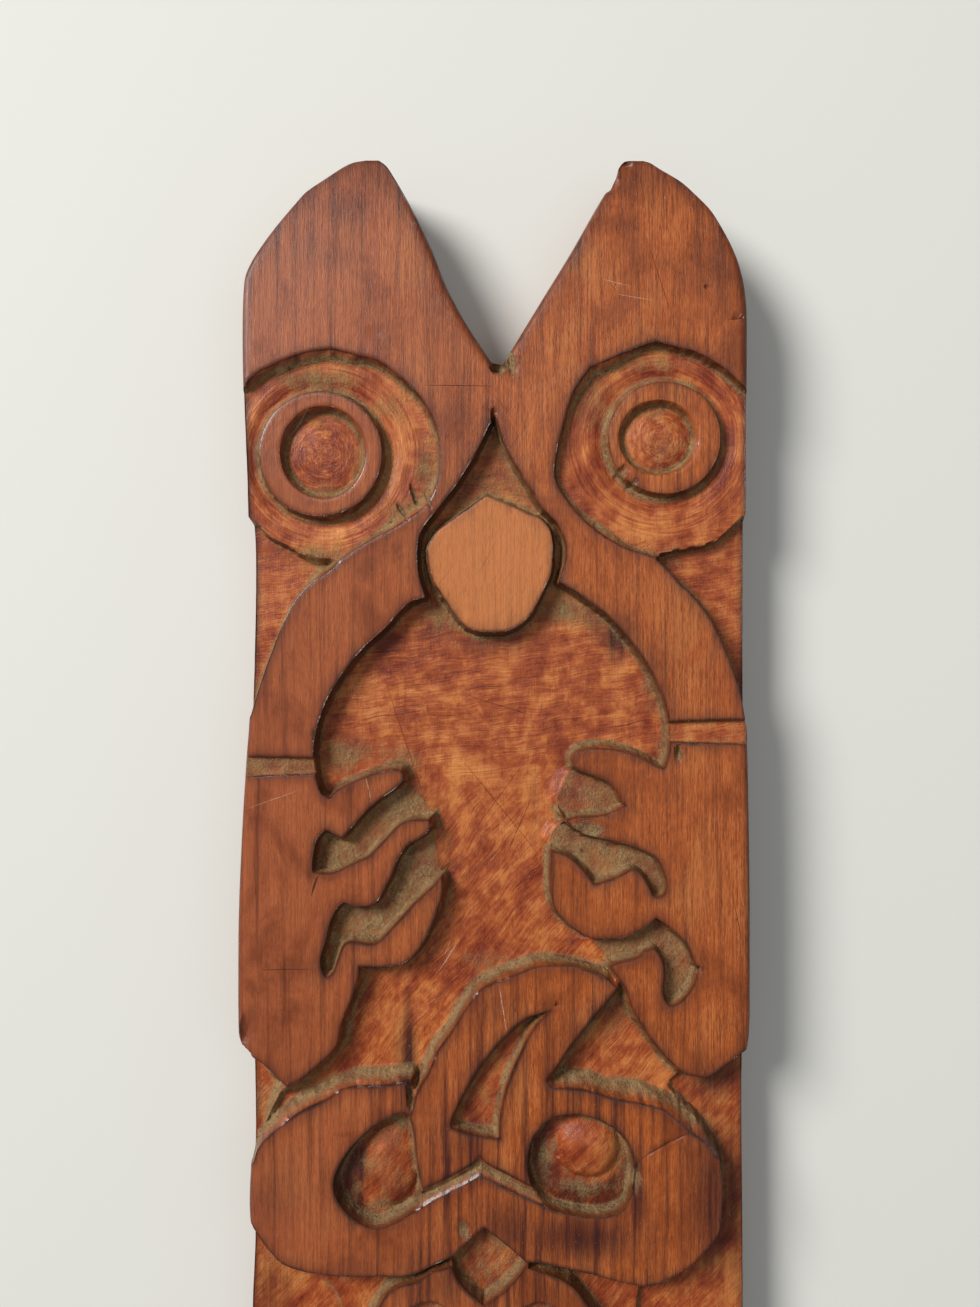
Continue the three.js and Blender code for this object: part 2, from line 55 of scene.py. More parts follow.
outlines = {
    "board": [
        (-29, 0, 1), (-32.25, 0, 1), (-36, 0.75), (-43, 5), (-47.25, 8), (-50, 11), (-55.25, 17.25),
        (-58.75, 22), (-61.25, 26), (-62.6, 29.25), (-63.1, 34), (-63.3, 46), (-63, 61), (-62.25, 80),
        (-62, 89.5, 1), (-61.25, 91), (-61.5, 139), (-62.25, 150), (-63.25, 166), (-64.25, 190),
        (-64.4, 212, 1), (-64.1, 220.5), (-63.5, 222.25, 1), (-61.25, 224.5, 1), (-61, 248), (-61.5, 262),
        (-61.1, 272), (-61.75, 290), (-62.2, 330), (-62, 380, 1), (62.5, 380, 1), (63.5, 330),
        (63.75, 288), (63.6, 225), (64.1, 220.75), (64.4, 215, 1), (64.4, 186, 1), (64, 158), (63.5, 136),
        (63.6, 61), (63.5, 36), (62.75, 30.5), (61.5, 25.75), (59.75, 21.5), (57.5, 17.25), (54.5, 12.6),
        (51, 9), (47.25, 5.5), (41.5, 2), (39.25, 0.6), (37.5, 0.1, 1), (32.75, 0.4), (31.5, 1.75),
        (31, 3.75), (29.4, 7.4, 1), (27.9, 8.5, 1), (25.5, 12.5), (19.25, 23.5), (12.5, 34.5), (5.5, 46),
        (2.25, 51.4, 1), (-0.5, 51, 1), (-2.5, 48), (-6, 42.75), (-11.75, 32.25), (-16, 21.5), (-21, 11.5),
        (-25.5, 3.75), (-27.25, 1.25),
    ],
    "leftEye": [
        (-67, 58.5, 1), (-62.25, 56.5), (-59.5, 54), (-55.75, 52), (-48.75, 49.25), (-41, 48),
        (-34.25, 49.5), (-29.25, 50.75), (-23.5, 55), (-18, 60.75), (-14.75, 66.75), (-13.5, 72.5),
        (-14, 80.25), (-16.5, 86.5), (-23.5, 91.75), (-33, 97), (-39, 101.25, 1), (-43, 101.5, 1),
        (-47.5, 100.8), (-54.5, 98), (-61, 93.3), (-67, 89, 1),
    ],
    "rightEye": [
        (67, 60, 1), (63, 57.5), (57, 52.25), (50.25, 48.5), (45.25, 47.25), (40.25, 46, 1),
        (35.25, 47.75), (27.75, 51), (24, 52.5, 1), (19.5, 59.5), (17, 67.75), (15.25, 76), (15.25, 80.5),
        (18.25, 86), (24, 92), (31.5, 97), (40.5, 100, 1), (42.5, 101, 1), (47, 100), (54.8, 98.4),
        (58.6, 96.5), (64, 91.8), (67, 89.3, 1),
    ],
    "upperLeftGround": [
        (-67, 86, 1), (-60.25, 90.6), (-54.5, 95.5), (-47.5, 98.25), (-43, 99), (-39.25, 99, 1),
        (-38.5, 101.25, 1), (-41.5, 103.75), (-44.75, 105.75), (-49.25, 110.25), (-51.75, 114.5),
        (-55.5, 123.5), (-58.75, 132.75), (-61.5, 141), (-67, 150, 1),
    ],
    "upperRightGround": [
        (67, 86.5, 1), (62.5, 89.5), (57, 94.5), (54, 96), (46.5, 97.5), (41.5, 98.25, 1),
        (40.5, 100.5, 1), (43.75, 103.5), (46.5, 106.5), (49.5, 109.25), (52.25, 112.5), (55, 117),
        (59, 126.25), (61.75, 135), (63.5, 143.5), (67, 155, 1),
    ],
    "noseHollow": [
        (0, 62.75, 1), (1.1, 67), (4, 74.5), (9, 82.75), (11.5, 87), (16, 92), (18, 97), (17.75, 102),
        (16.4, 106.25, 1), (13, 114, 1), (-13.5, 116, 1), (-17.25, 110, 1), (-18.75, 105), (-19.25, 99.5),
        (-18.5, 94), (-14, 87.75), (-9, 81.25), (-4, 72.75), (-0.75, 65.75),
    ],
    "nose": [
        (-2, 84.5, 1), (3, 86.5), (7.75, 88.75), (11.5, 90.25), (13.75, 92.75), (14.6, 96), (14.25, 104),
        (12.75, 107.5), (9, 114.5), (6.5, 117), (3.5, 118.5), (-2.75, 118.75), (-6, 118), (-8.5, 116),
        (-13, 109.5), (-15.5, 105), (-16.6, 100), (-16.5, 97.75), (-14.25, 93.5), (-11.75, 91.5),
    ],
    "chest": [
        (16.4, 106.25, 1), (21.5, 109.5), (27.5, 113.75), (32, 118.25), (36.5, 124.25), (41, 131.75),
        (43.25, 138.5), (44, 143), (43.75, 149.5), (42.5, 153, 1), (39, 151.5), (34, 149), (28, 148),
        (24, 148), (20.5, 149), (19.75, 150.75), (20, 152.25, 1), (16, 162), (17.75, 166, 1), (14.5, 170),
        (14.25, 173.5, 1), (14.25, 183.5), (15.25, 188), (19, 192.25), (22, 194.25), (24.5, 195.5, 1),
        (29.25, 202.25, 1), (28, 205.25, 1), (25.75, 204.25), (20.25, 202.6), (16.25, 202.25),
        (10, 202.75), (4.25, 205), (-0.75, 206.75), (-3.25, 208.25), (-7, 213), (-11.5, 220), (-14, 223.5),
        (-15.6, 227.25), (-16.75, 229.75), (-19.25, 234.25), (-20.5, 239.5, 1), (-20.75, 230.75, 1),
        (-25.75, 232), (-37.5, 233), (-41.5, 235.5), (-48.75, 239), (-54.5, 243.25), (-57.5, 246),
        (-59, 248, 1), (-59.5, 242, 1), (-54.6, 233.2, 1), (-51.75, 232.5, 1), (-46.25, 229),
        (-41.5, 224.75), (-39.5, 222), (-38.25, 216.75), (-35.5, 210), (-34, 205), (-33.75, 202.5, 1),
        (-28.5, 202.6), (-22.25, 201.5), (-18, 197), (-14.5, 189.5), (-13, 183.5), (-13.25, 180, 1),
        (-15, 172), (-16, 167, 1), (-18, 161), (-22.75, 155.75, 1), (-23, 154), (-24.5, 153.25),
        (-28.5, 153.75), (-34.5, 156), (-40, 159), (-41, 160.5, 1), (-43, 159.5), (-44.5, 155.75),
        (-45.25, 150), (-44.75, 144.5), (-43.5, 140), (-41.5, 135), (-36.75, 127.5), (-32, 122),
        (-27.5, 118), (-23.25, 113.25), (-21, 111.25), (-17.25, 110, 1), (-18.2, 105.5, 1), (-12, 100, 1),
        (12, 98, 1), (17, 102.5, 1),
    ],
    "leftUpperGap": [
        (-22.75, 155.75, 1), (-24.5, 157.75), (-29.5, 161.25), (-32, 163.5), (-36.75, 169),
        (-38.25, 170.5, 1), (-40.5, 169.1), (-42, 168.4), (-44.25, 170.75), (-45.5, 176.5),
        (-45.5, 179, 1), (-41.5, 179.25), (-39.5, 178.75), (-34.25, 176.25), (-31.5, 175),
        (-27.75, 171.25), (-23.5, 167), (-21, 165.9), (-16.5, 165.75, 1), (-12.5, 162, 1), (-17, 156, 1),
    ],
    "leftLowerGap": [
        (-16, 167.5, 1), (-17, 169.25), (-21, 171.75), (-22.5, 173.25), (-24, 175.75), (-26.5, 181.25),
        (-30, 186.75), (-35, 187.4, 1), (-37.5, 186.5), (-39, 187.5), (-41, 191.25), (-42.25, 196.5),
        (-43.5, 200.75), (-43.1, 203.75), (-41.9, 205.25), (-40.25, 204), (-39, 200.75), (-37, 196.6),
        (-31.5, 196.75), (-29.25, 196.4), (-24.75, 192), (-20.25, 187), (-15.5, 182.6), (-13.25, 180, 1),
        (-10.25, 177, 1), (-11, 170, 1),
    ],
    "rightUpperGap": [
        (20, 152.25, 1), (21.25, 153.25), (24, 154.25), (28.25, 156), (30.5, 158.25), (31.75, 160.75),
        (33, 162.25, 1), (31, 163.25), (29, 164.25), (26.5, 164.75), (20, 165.25), (17.75, 166, 1),
        (13.5, 161, 1), (15, 154, 1),
    ],
    "rightMiddleGap": [
        (17.75, 166, 1), (20, 167.75), (22.5, 169.25), (26.5, 170.25), (33, 171.75), (36, 172.75),
        (39, 174.25), (41, 175.75), (42.5, 179), (43.25, 182), (42.25, 184.75), (40, 185), (38.5, 182.25),
        (36.25, 179), (34.5, 178.25), (30.5, 180.25), (25, 182, 1), (22, 178.25), (18, 174.75),
        (14.25, 173.5, 1), (11.5, 171, 1), (13, 167, 1),
    ],
    "rightLowerGap": [
        (24.5, 195.5, 1), (29, 195.4), (32.5, 195.25), (35.5, 193.75), (38.5, 192), (40.5, 190.25, 1),
        (42.5, 191.5), (47.5, 196.25), (50, 201.25), (51, 203.75), (49.25, 208.25), (46, 211.75),
        (44, 212.25), (42.5, 210.5), (42.25, 207), (42.5, 204.5), (42, 201.25), (40, 198.25), (38, 198.75),
        (36, 200.25), (30.5, 201.75), (29.25, 202.25, 1), (24, 201, 1), (20, 196, 1),
    ],
    "rightPocket": [
        (28, 201.5, 1), (29.25, 202.25, 1), (31.25, 205.5), (33, 208), (34, 211), (36, 215.5),
        (39, 220.25), (42.75, 225), (46.75, 228.5), (49.5, 229.75), (53.25, 230.25, 1), (57.5, 240, 1),
        (56, 250.75, 1), (53.25, 247), (49, 243.75), (44.5, 240), (42, 238.25), (37, 236.9),
        (29.75, 235.6), (22.5, 233.5), (14.5, 233, 1), (13, 231, 1), (18.75, 223), (23.5, 217),
        (29, 210.25), (30.75, 207.75, 1), (28, 205.25, 1), (25.75, 204.25, 1),
    ],
    "lowerRightGround": [
        (67, 221, 1), (63.6, 223), (57.75, 227.1), (53.25, 230.25, 1), (49.5, 230), (46, 230.75),
        (43.75, 233), (43.25, 234.5, 1), (45.5, 236.75), (49, 240.25), (53, 245), (56.25, 250.5),
        (57, 254), (57.2, 258), (57, 264), (56, 269.75), (54, 272.25), (50, 276.75), (46, 279.5),
        (43, 281.1), (39.75, 282.25), (37.25, 282.5, 1), (36.25, 285), (35.5, 292), (35.75, 305),
        (37, 322), (41, 336, 1), (54, 337.5), (67, 338, 1),
    ],
    "lowerLeftGround": [
        (-67, 219, 1), (-63.5, 222.5), (-61.25, 224.5), (-57.25, 227.25), (-53.5, 231), (-51.75, 232.5, 1),
        (-52.25, 234), (-54.75, 239), (-57.75, 245.25), (-59.25, 248.25), (-60.75, 252.25), (-67, 257, 1),
    ],
    "footLeftGround": [
        (-67, 266.5, 1), (-61.25, 266.5), (-59.9, 268.25), (-57.75, 271.6), (-53.25, 277, 1), (-50.5, 280),
        (-46.5, 281.75), (-43.5, 282.75), (-41, 284.5), (-39, 287.5), (-37.5, 293), (-37, 305), (-38, 322),
        (-42, 336, 1), (-54, 337.5), (-67, 338, 1),
    ],
    "leftShoulder": [
        (-56, 273.9, 1), (-53.5, 276.5), (-48.5, 278.5), (-40.25, 279.8), (-28, 280), (-21, 279.75),
        (-15.75, 277.4), (-10.9, 275.25, 1), (-10.5, 277.5, 1), (-12.5, 278), (-15.75, 279), (-18.6, 281),
        (-21.9, 281.9), (-24.75, 283), (-27.25, 285.1), (-28.75, 287.5), (-31.5, 293), (-33, 301),
        (-32.25, 309), (-29, 317), (-23.5, 323.5), (-15, 328), (-6, 330), (3, 330.2, 1), (3, 336.5, 1),
        (-46, 337, 1), (-46, 300, 1),
    ],
    "rightShoulder": [
        (8.6, 276.3, 1), (11.75, 276.6), (15, 277.25), (25, 279.6), (31, 281.25), (37.25, 282.5, 1),
        (41, 290, 1), (44, 337, 1), (-3, 336.5, 1), (-3, 330.2, 1), (8, 329.75), (16, 327.5), (24, 322.5),
        (29, 315.5), (31, 307.5), (30.5, 299), (27.5, 292.5), (23.5, 287.5), (20.25, 283.25),
        (17.5, 281.25), (15, 280), (12.25, 279.25), (8.6, 278, 1),
    ],
    "tusk": [
        (14, 213.5, 1), (9, 215), (3.5, 219.25), (-2.5, 226.25), (-7.75, 234.5), (-10.9, 241.5),
        (-10.75, 243, 1), (-5.25, 244.75), (1.4, 245.6, 1), (1.6, 240.75), (3.1, 233.25), (6.25, 225.25),
        (9.75, 218.5),
    ],
    "halfMoonEye": [
        (-21, 239.75, 1), (-23.1, 239.1), (-28, 241), (-33.75, 245.5), (-38.25, 251.25), (-40.25, 257),
        (-38.5, 262.25), (-33.25, 267), (-29.5, 268.1), (-24, 266), (-18.6, 262.6, 1), (-17.75, 258.25, 1),
        (-19, 252.5), (-20, 244.5),
    ],
    "domedEye": [
        (19, 239.4), (27, 241.25), (33, 246), (35, 251.5), (34.75, 257.25), (32.25, 263.25), (27, 265.25),
        (19, 264.6), (12.75, 262.25), (9.75, 258.25), (8.25, 251.75), (9.75, 245.25), (14, 240.5),
    ],
    "brow": [
        (-20, 259, 1), (-11, 254.75), (-5.5, 251.6), (-3.5, 249.75, 1), (-2, 251.4), (3.75, 254.5),
        (11, 258.2), (14, 259.5, 1), (17, 264.2, 1), (11, 261.75), (4.5, 258.75), (-3.5, 254.75, 1),
        (-11, 258.75), (-15, 260.75), (-20, 264, 1),
    ],
    "diamond": [
        (-2.5, 267.6, 1), (6.25, 274.75), (8.6, 277, 1), (3, 283.25), (-2.5, 287.5, 1), (-9, 281.25),
        (-11.25, 275.75, 1), (-7, 271.5),
    ],
    "leftArmBand": [
        (-67, 149.6, 1), (-44, 150.25, 1), (-43, 154.25, 1), (-67, 155.1, 1),
    ],
    "rightArmBand": [
        (42.5, 141.25, 1), (67, 140.4, 1), (67, 147, 1), (42.5, 146.25, 1),
    ],
}

# Each hollow: depth, wall width, dust on its floor, and spots (across, down, reach, width) where the wall is wider.
hollows = {
    "leftEye": {"depth": 2.6, "wall": 0.9, "dust": 0.08, "wide": [(-45, 54, 13, 2.1), (-24, 86, 8, 2.4)]},
    "rightEye": {"depth": 2.7, "wall": 0.9, "dust": 0.08, "wide": [(26, 53, 9, 2.2), (30, 90, 7, 1.8)]},
    "upperLeftGround": {"depth": 5.6, "wall": 1.0, "dust": 0.12, "wide": [(-43, 100, 6, 2.6)]},
    "upperRightGround": {"depth": 5.6, "wall": 1.0, "dust": 0.12, "wide": []},
    "noseHollow": {"depth": 4.2, "wall": 0.9, "dust": 0.5, "wide": []},
    "leftUpperGap": {"depth": 3.7, "wall": 0.9, "dust": 0.8, "wide": []},
    "leftLowerGap": {"depth": 3.7, "wall": 0.9, "dust": 0.8, "wide": []},
    "rightUpperGap": {"depth": 3.4, "wall": 1.0, "dust": 0.6, "wide": []},
    "rightMiddleGap": {"depth": 3.6, "wall": 0.9, "dust": 0.75, "wide": []},
    "rightLowerGap": {"depth": 3.6, "wall": 0.9, "dust": 0.7, "wide": []},
    "chest": {
        "depth": 4.8,
        "wall": 1.0,
        "dust": 0.0,
        "wide": [
            (-30, 232.5, 10, 2.8), (-46, 237.5, 11, 3.0), (-56, 244, 7, 2.8), (-18, 225, 9, 1.9), (-8, 208, 9, 1.9),
            (6, 203, 9, 2.0), (-23, 153.5, 4, 2.0), (-13.5, 165.5, 4, 2.4), (-10, 186, 8, 1.9), (-34, 206, 7, 2.0),
            (-39, 221, 9, 2.2), (-28, 196, 5, 1.8), (26, 149, 6, 1.5),
        ],
    },
    "leftArmBand": {"depth": 1.2, "wall": 0.5, "dust": 0.7, "wide": []},
    "rightArmBand": {"depth": 1.2, "wall": 0.5, "dust": 0.25, "wide": []},
    "rightPocket": {
        "depth": 5.0,
        "wall": 1.2,
        "dust": 0.08,
        "wide": [(22, 234, 9, 3.2), (34, 237, 10, 3.8), (48, 242, 10, 3.8), (24, 221, 8, 2.4), (29, 211, 7, 2.2)],
    },
    "lowerRightGround": {"depth": 6.6, "wall": 1.2, "dust": 0.03, "wide": []},
    "lowerLeftGround": {"depth": 6.6, "wall": 1.2, "dust": 0.08, "wide": [(-53, 235, 8, 3.0)]},
    "footLeftGround": {"depth": 6.6, "wall": 1.2, "dust": 0.08, "wide": []},
    "leftShoulder": {"depth": 5.0, "wall": 1.0, "dust": 0.2, "wide": []},
    "rightShoulder": {"depth": 5.0, "wall": 1.0, "dust": 0.2, "wide": []},
    "tusk": {"depth": 3.4, "wall": 1.3, "dust": 0.3, "wide": [(-16, 229, 7, 2.6)]},
    "halfMoonEye": {"depth": 4.4, "wall": 1.3, "dust": 0.3, "wide": []},
    "domedEye": {"depth": 4.4, "wall": 1.0, "dust": 0.15, "wide": []},
    "brow": {"depth": 1.8, "wall": 1.7, "dust": 0.85, "wide": []},
    "diamond": {"depth": 4.0, "wall": 1.0, "dust": 0.45, "wide": [(-1, 262, 5, 2.4)]},
}

# Round parts: (across, down, half width, half height).
rounds = {
    "leftRing": (-43.4, 74.2, 15.3, 15.6),
    "leftPupil": (-42.8, 73.8, 10.8, 11.6),
    "rightRing": (42.75, 70.0, 14.0, 14.0),
    "rightPupil": (41.2, 70.0, 10.1, 9.5),
    "smallLeftEye": (-16.5, 292.5, 6.2, 6.2),
    "smallRightEye": (11.5, 292.25, 6.0, 6.0),
    "smallMouth": (-2.0, 314.0, 12.0, 4.4),
}
# Parts left standing: how far their top is below the front face.
islands = {"nose": 0.05, "leftRing": 0.0, "rightRing": 0.5}
# Round hollows cut last: depth, wall, dust, and the rise of the dome in them.
pupils = {
    "leftPupil": {"depth": 2.9, "wall": 1.3, "dust": 0.12, "rise": 0.9},
    "rightPupil": {"depth": 3.2, "wall": 1.4, "dust": 0.3, "rise": 1.5},
    "smallLeftEye": {"depth": 2.6, "wall": 0.9, "dust": 0.3, "rise": 0.5},
    "smallRightEye": {"depth": 2.6, "wall": 0.9, "dust": 0.3, "rise": 0.5},
    "smallMouth": {"depth": 2.0, "wall": 0.9, "dust": 0.4, "rise": 0.0},
}
# Domes in hollows: (across, down, half width, half height, rise, skirt).
domes = {"halfMoonEye": (-26.0, 253.5, 6.6, 10.6, 1.7, 0.9), "domedEye": (23.6, 248.4, 7.8, 7.8, 2.7, 1.5)}

# Chips, splits and dents: (across, down, half width, half height, turn, depth, dust).
dents = {
    "leftEdgeChip": (-62.6, 219.5, 2.2, 5.6, -8, 1.3, 0.25),
    "stainStep": (-52.0, 206.2, 6.2, 1.5, 2, 0.1, 0.0),
    "eyeSplitUpper": (-20.2, 84.2, 0.55, 3.4, 18, 1.1, 0.9),
    "eyeSplitLower": (-23.0, 88.6, 0.5, 3.0, 36, 1.0, 0.9),
    "eyeSplitOuter": (-16.6, 85.6, 0.45, 2.6, 22, 0.8, 0.9),
    "bandChip": (46.2, 149.0, 1.1, 2.4, 0, 1.5, 0.8),
    "tornFibre": (-44.6, 144.6, 0.9, 2.2, 14, 0.7, 0.6),
    "fingerNick": (-21.4, 173.6, 1.6, 1.8, 20, 0.8, 0.5),
    "palmFacet": (23.5, 168.2, 4.8, 2.6, 0, 0.9, 0.75),
    "rightRimChip": (51.4, 203.2, 0.8, 1.4, 0, 0.9, 0.7),
    "deepNotch": (-21.0, 235.0, 0.9, 4.0, 4, 2.2, 0.8),
    "cheekChip": (35.8, 255.4, 1.1, 4.6, -6, 1.5, 0.75),
    "diamondChip": (-7.4, 268.4, 1.6, 3.0, 12, 1.0, 0.7),
    "cheekCrack": (43.0, 247.2, 6.6, 0.28, 28, 0.5, 0.2),
    "earCrack": (61.0, 40.2, 1.8, 0.3, 8, 0.5, 0.2),
    "earPit": (53.2, 32.4, 0.7, 0.7, 0, 0.5, 0.3),
    "handPit": (15.8, 212.0, 0.6, 0.6, 0, 0.6, 0.3),
    "noseNick": (-0.3, 64.6, 0.6, 2.0, 0, 1.6, 0.4),
    "ringChipOne": (32.0, 78.6, 2.4, 1.2, 48, 1.0, 0.5),
    "ringChipTwo": (34.6, 81.6, 1.8, 0.9, 40, 0.7, 0.5),
    "earNick": (29.6, 6.6, 2.4, 1.3, 50, 1.0, 0.2),
    "tornTip": (32.6, 1.6, 2.6, 1.4, 12, 1.1, 0.2),
    "sawFloor": (1.2, 52.4, 2.6, 1.9, 0, 3.4, 1.0),
    "sawSide": (4.2, 51.4, 1.3, 4.0, 10, 1.0, 1.0),
    "cheekDent": (-14.6, 224.6, 0.7, 1.2, 0, 0.3, 0.3),
    "earDentLeft": (-30.0, 43.8, 1.6, 2.2, 0, 0.18, 0.0),
}

# Soft dark stains, a few of them painted shade, and dusty spots: (across, down, reach across, reach down, strength).
stainAndShadeSpots = [
    (-38, 12, 8, 6, 0.55), (-40, 25, 6, 4, 0.4), (-44, 20, 9, 9, 0.3), (-13, 30, 5, 18, 0.5), (-26, 4, 16, 9, 0.5),
    (38, 4, 16, 8, 0.55), (57, 22, 7, 16, 0.55), (16, 26, 5, 18, 0.3), (31, 120, 5, 6, 0.9), (27, 116, 5, 4, 0.6),
    (-3, 122, 10, 2.6, 0.6), (-14, 119, 5, 4, 0.5), (40, 128, 2.5, 8, 0.55), (-22, 226, 2.6, 14, 0.8),
    (17, 228, 6, 16, 0.45), (22, 270, 16, 7, 0.9), (36, 262, 3, 12, 0.8), (4, 268, 8, 9, 0.7), (-22, 262, 8, 8, 0.5),
    (-8, 246, 8, 8, 0.5), (-14, 280, 16, 10, 0.5), (16, 284, 16, 10, 0.5), (37, 176, 4, 6, 0.35), (44, 158, 4, 5, 0.4),
    (-58, 262, 7, 9, 0.4), (0, 212, 12, 6, 0.35), (14, 215, 5, 8, 0.35), (56, 262, 10, 24, 0.75), (56, 232, 9, 8, 0.7),
    (-58, 290, 8, 16, 0.45), (-34, 280, 8, 6, 0.45), (-47, 203, 7, 3.0, 0.35), (-1, 67, 3, 4, 0.6), (-60, 170, 3, 26, 0.2),
    # The last three stains darken the domed eye's left and lower left and the half-moon eye's left crescent: painted
    # shade.
    (15, 257, 6, 5, 0.8), (-34, 254, 4, 9, 0.8), (13, 245, 4, 6, 0.5),
]
dustSpots = [
    (-38, 150, 8, 5, 0.75), (43, 151, 3, 7, 0.6), (41, 132, 3.5, 9, 0.55), (-13, 114, 6, 5, 0.8), (18, 113, 8, 5, 0.8),
    (-45, 55, 13, 3.2, 0.75), (-26, 62, 6, 5, 0.5), (-17, 78, 3.5, 10, 0.75), (-22, 88, 7, 4, 0.7), (24, 60, 5, 9, 0.5),
    (40, 51, 12, 3, 0.55), (-44, 100, 9, 4, 0.7), (44, 100, 6, 4, 0.5), (-24, 151, 8, 5, 0.5), (-20, 168, 8, 6, 0.5),
    (24, 160, 6, 6, 0.6), (-12, 175, 7, 9, 0.3), (40, 63, 8, 5, 0.55), (-44, 63, 9, 4, 0.6), (-34, 77, 3, 9, 0.4),
    (-42, 84, 10, 3, 0.5), (30, 213, 4, 8, 0.6), (-40, 205, 6, 10, 0.35), (0, 202, 16, 4, 0.4), (-56, 238, 8, 6, 0.5),
    (24, 239, 10, 3, 0.6), (8, 275, 30, 4, 0.35), (-50, 276, 14, 5, 0.4), (0, 76, 7, 8, 0.4), (19, 264, 8, 3, 0.4), (22, 259, 9, 3.2, 0.75), (13, 252, 3, 7, 0.7),
    (32, 250, 2.4, 8, 0.6), (-27, 264, 7, 3, 0.7),
]


def toPlane(points):
    flat = np.array([point[:2] for point in points], float)
    flat[:, 1] = panel["length"] / 2 - flat[:, 1]
    return flat


def smoothRun(run, closed, step):
    count = len(run)
    if count == 2 and not closed:
        parts = max(1, round(np.linalg.norm(run[1] - run[0]) / step))
        return [run[0] + (run[1] - run[0]) * i / parts for i in range(parts)]
    placed = []
    for i in range(count if closed else count - 1):
        p1, p2 = run[i], run[(i + 1) % count]
        p0 = run[i - 1] if closed or i > 0 else 2 * p1 - p2
        p3 = run[(i + 2) % count] if closed or i + 2 < count else 2 * p2 - p1
        knots = np.cumsum([0.0] + [max(1e-4, np.linalg.norm(b - a)) ** 0.5 for a, b in ((p0, p1), (p1, p2), (p2, p3))])
        parts = max(1, round(np.linalg.norm(p2 - p1) / step))
        for part in range(parts):
            t = knots[1] + (knots[2] - knots[1]) * part / parts

            def blend(a, b, ta, tb):
                return ((tb - t) * a + (t - ta) * b) / (tb - ta)

            a1, a2, a3 = blend(p0, p1, knots[0], knots[1]), blend(p1, p2, knots[1], knots[2]), blend(p2, p3, knots[2], knots[3])
            placed.append(blend(blend(a1, a2, knots[0], knots[2]), blend(a2, a3, knots[1], knots[3]), knots[1], knots[2]))
    return placed


def smoothOutline(outline, step):
    places = toPlane(outline)
    corners = [i for i, point in enumerate(outline) if len(point) > 2]
    if not corners:
        return np.array(smoothRun(places, True, step))
    order = list(range(corners[0], len(outline))) + list(range(corners[0] + 1))
    placed, run = [], [order[0]]
    for i in order[1:]:
        run.append(i)
        if i in corners:
            placed += smoothRun(places[run], False, step)
            run = [i]
    return np.array(placed)


def ellipseLoop(place, step):
    across, down, halfWidth, halfHeight = place
    count = round(math.pi * (halfWidth + halfHeight) / step)
    turn = np.linspace(0, 2 * math.pi, count, endpoint=False)
    middle = np.array([across, panel["length"] / 2 - down])
    return middle + np.stack([halfWidth * np.cos(turn), halfHeight * np.sin(turn)], 1)


def leftTurning(loop):
    after = np.roll(loop, -1, 0)
    area = (loop[:, 0] * after[:, 1] - after[:, 0] * loop[:, 1]).sum()
    return loop if area > 0 else loop[::-1].copy()


def shifted(loop, inward):
    along = np.roll(loop, -1, 0) - np.roll(loop, 1, 0)
    along /= np.linalg.norm(along, axis=1)[:, None]
    return loop + inward * np.stack([-along[:, 1], along[:, 0]], 1)


noiseTable = np.random.default_rng(7).random((256, 256))


def noiseAt(points, scaleX, scaleY, shift=0.0):
    u = points[:, 0] / scaleX + 40.0 + shift
    v = points[:, 1] / scaleY + 70.0 + 1.7 * shift
    i, j = np.floor(u).astype(int), np.floor(v).astype(int)
    fu, fv = u - i, v - j
    fu, fv = fu * fu * (3 - 2 * fu), fv * fv * (3 - 2 * fv)

    def corner(di, dj):
        return noiseTable[(i + di) % 256, (j + dj) % 256]

    low = corner(0, 0) * (1 - fu) + corner(1, 0) * fu
    high = corner(0, 1) * (1 - fu) + corner(1, 1) * fu
    return 2 * (low * (1 - fv) + high * fv) - 1


def signedDistance(points, loop, reach):
    signed = np.full(len(points), -reach)
    near = np.where(((points > loop.min(0) - reach) & (points < loop.max(0) + reach)).all(1))[0]
    start, end = loop, np.roll(loop, -1, 0)
    edge = end - start
    size = (edge**2).sum(1)
    for part in np.array_split(near, max(1, len(near) * len(loop) // 3000000)):
        here = points[part]
        offset = here[:, None] - start[None]
        share = np.clip((offset * edge).sum(2) / size, 0, 1)
        gap = np.sqrt(((offset - share[..., None] * edge) ** 2).sum(2).min(1))
        crosses = (start[:, 1] > here[:, 1:2]) != (end[:, 1] > here[:, 1:2])
        with np.errstate(divide="ignore", invalid="ignore"):
            where = start[:, 0] + (here[:, 1:2] - start[:, 1]) * edge[:, 0] / edge[:, 1]
        inside = (crosses & (here[:, 0:1] < where)).sum(1) % 2 == 1
        signed[part] = np.where(inside, gap, -gap)
    return np.where(np.abs(signed) < 1e-3, 0, signed)


boardLoop = leftTurning(smoothOutline(outlines["board"], panel["boardStep"]))
hollowLoops = {name: leftTurning(smoothOutline(outlines[name], panel["rimStep"])) for name in hollows}
noseLoop = leftTurning(smoothOutline(outlines["nose"], panel["rimStep"]))
roundLoops = {name: ellipseLoop(place, panel["rimStep"]) for name, place in rounds.items()}
print("stage: outlines", len(boardLoop), sum(len(loop) for loop in hollowLoops.values()))


def boardInset(points):
    rough = signedDistance(points, boardLoop[::6], 2.0)
    near = rough < 8
    exact = rough.copy()
    exact[near] = signedDistance(points[near], boardLoop, 3.0)
    return exact


def wallShare(signed, wall):
    t = np.clip(signed / wall, 0, 1.2)
    bend = np.clip((t - 0.8) / 0.4, 0, 1)
    return np.where(t < 0.8, t, 0.8 + 0.2 * (1 - (1 - bend) ** 2))


def wallWidth(points, settings):
    width = np.full(len(points), settings["wall"])
    for across, down, reach, wide in settings["wide"]:
        away = np.hypot(points[:, 0] - across, points[:, 1] - (panel["length"] / 2 - down))
        near = np.clip(1.5 - away / reach, 0, 1)
        width = np.maximum(width, settings["wall"] + (wide - settings["wall"]) * near)
    return width


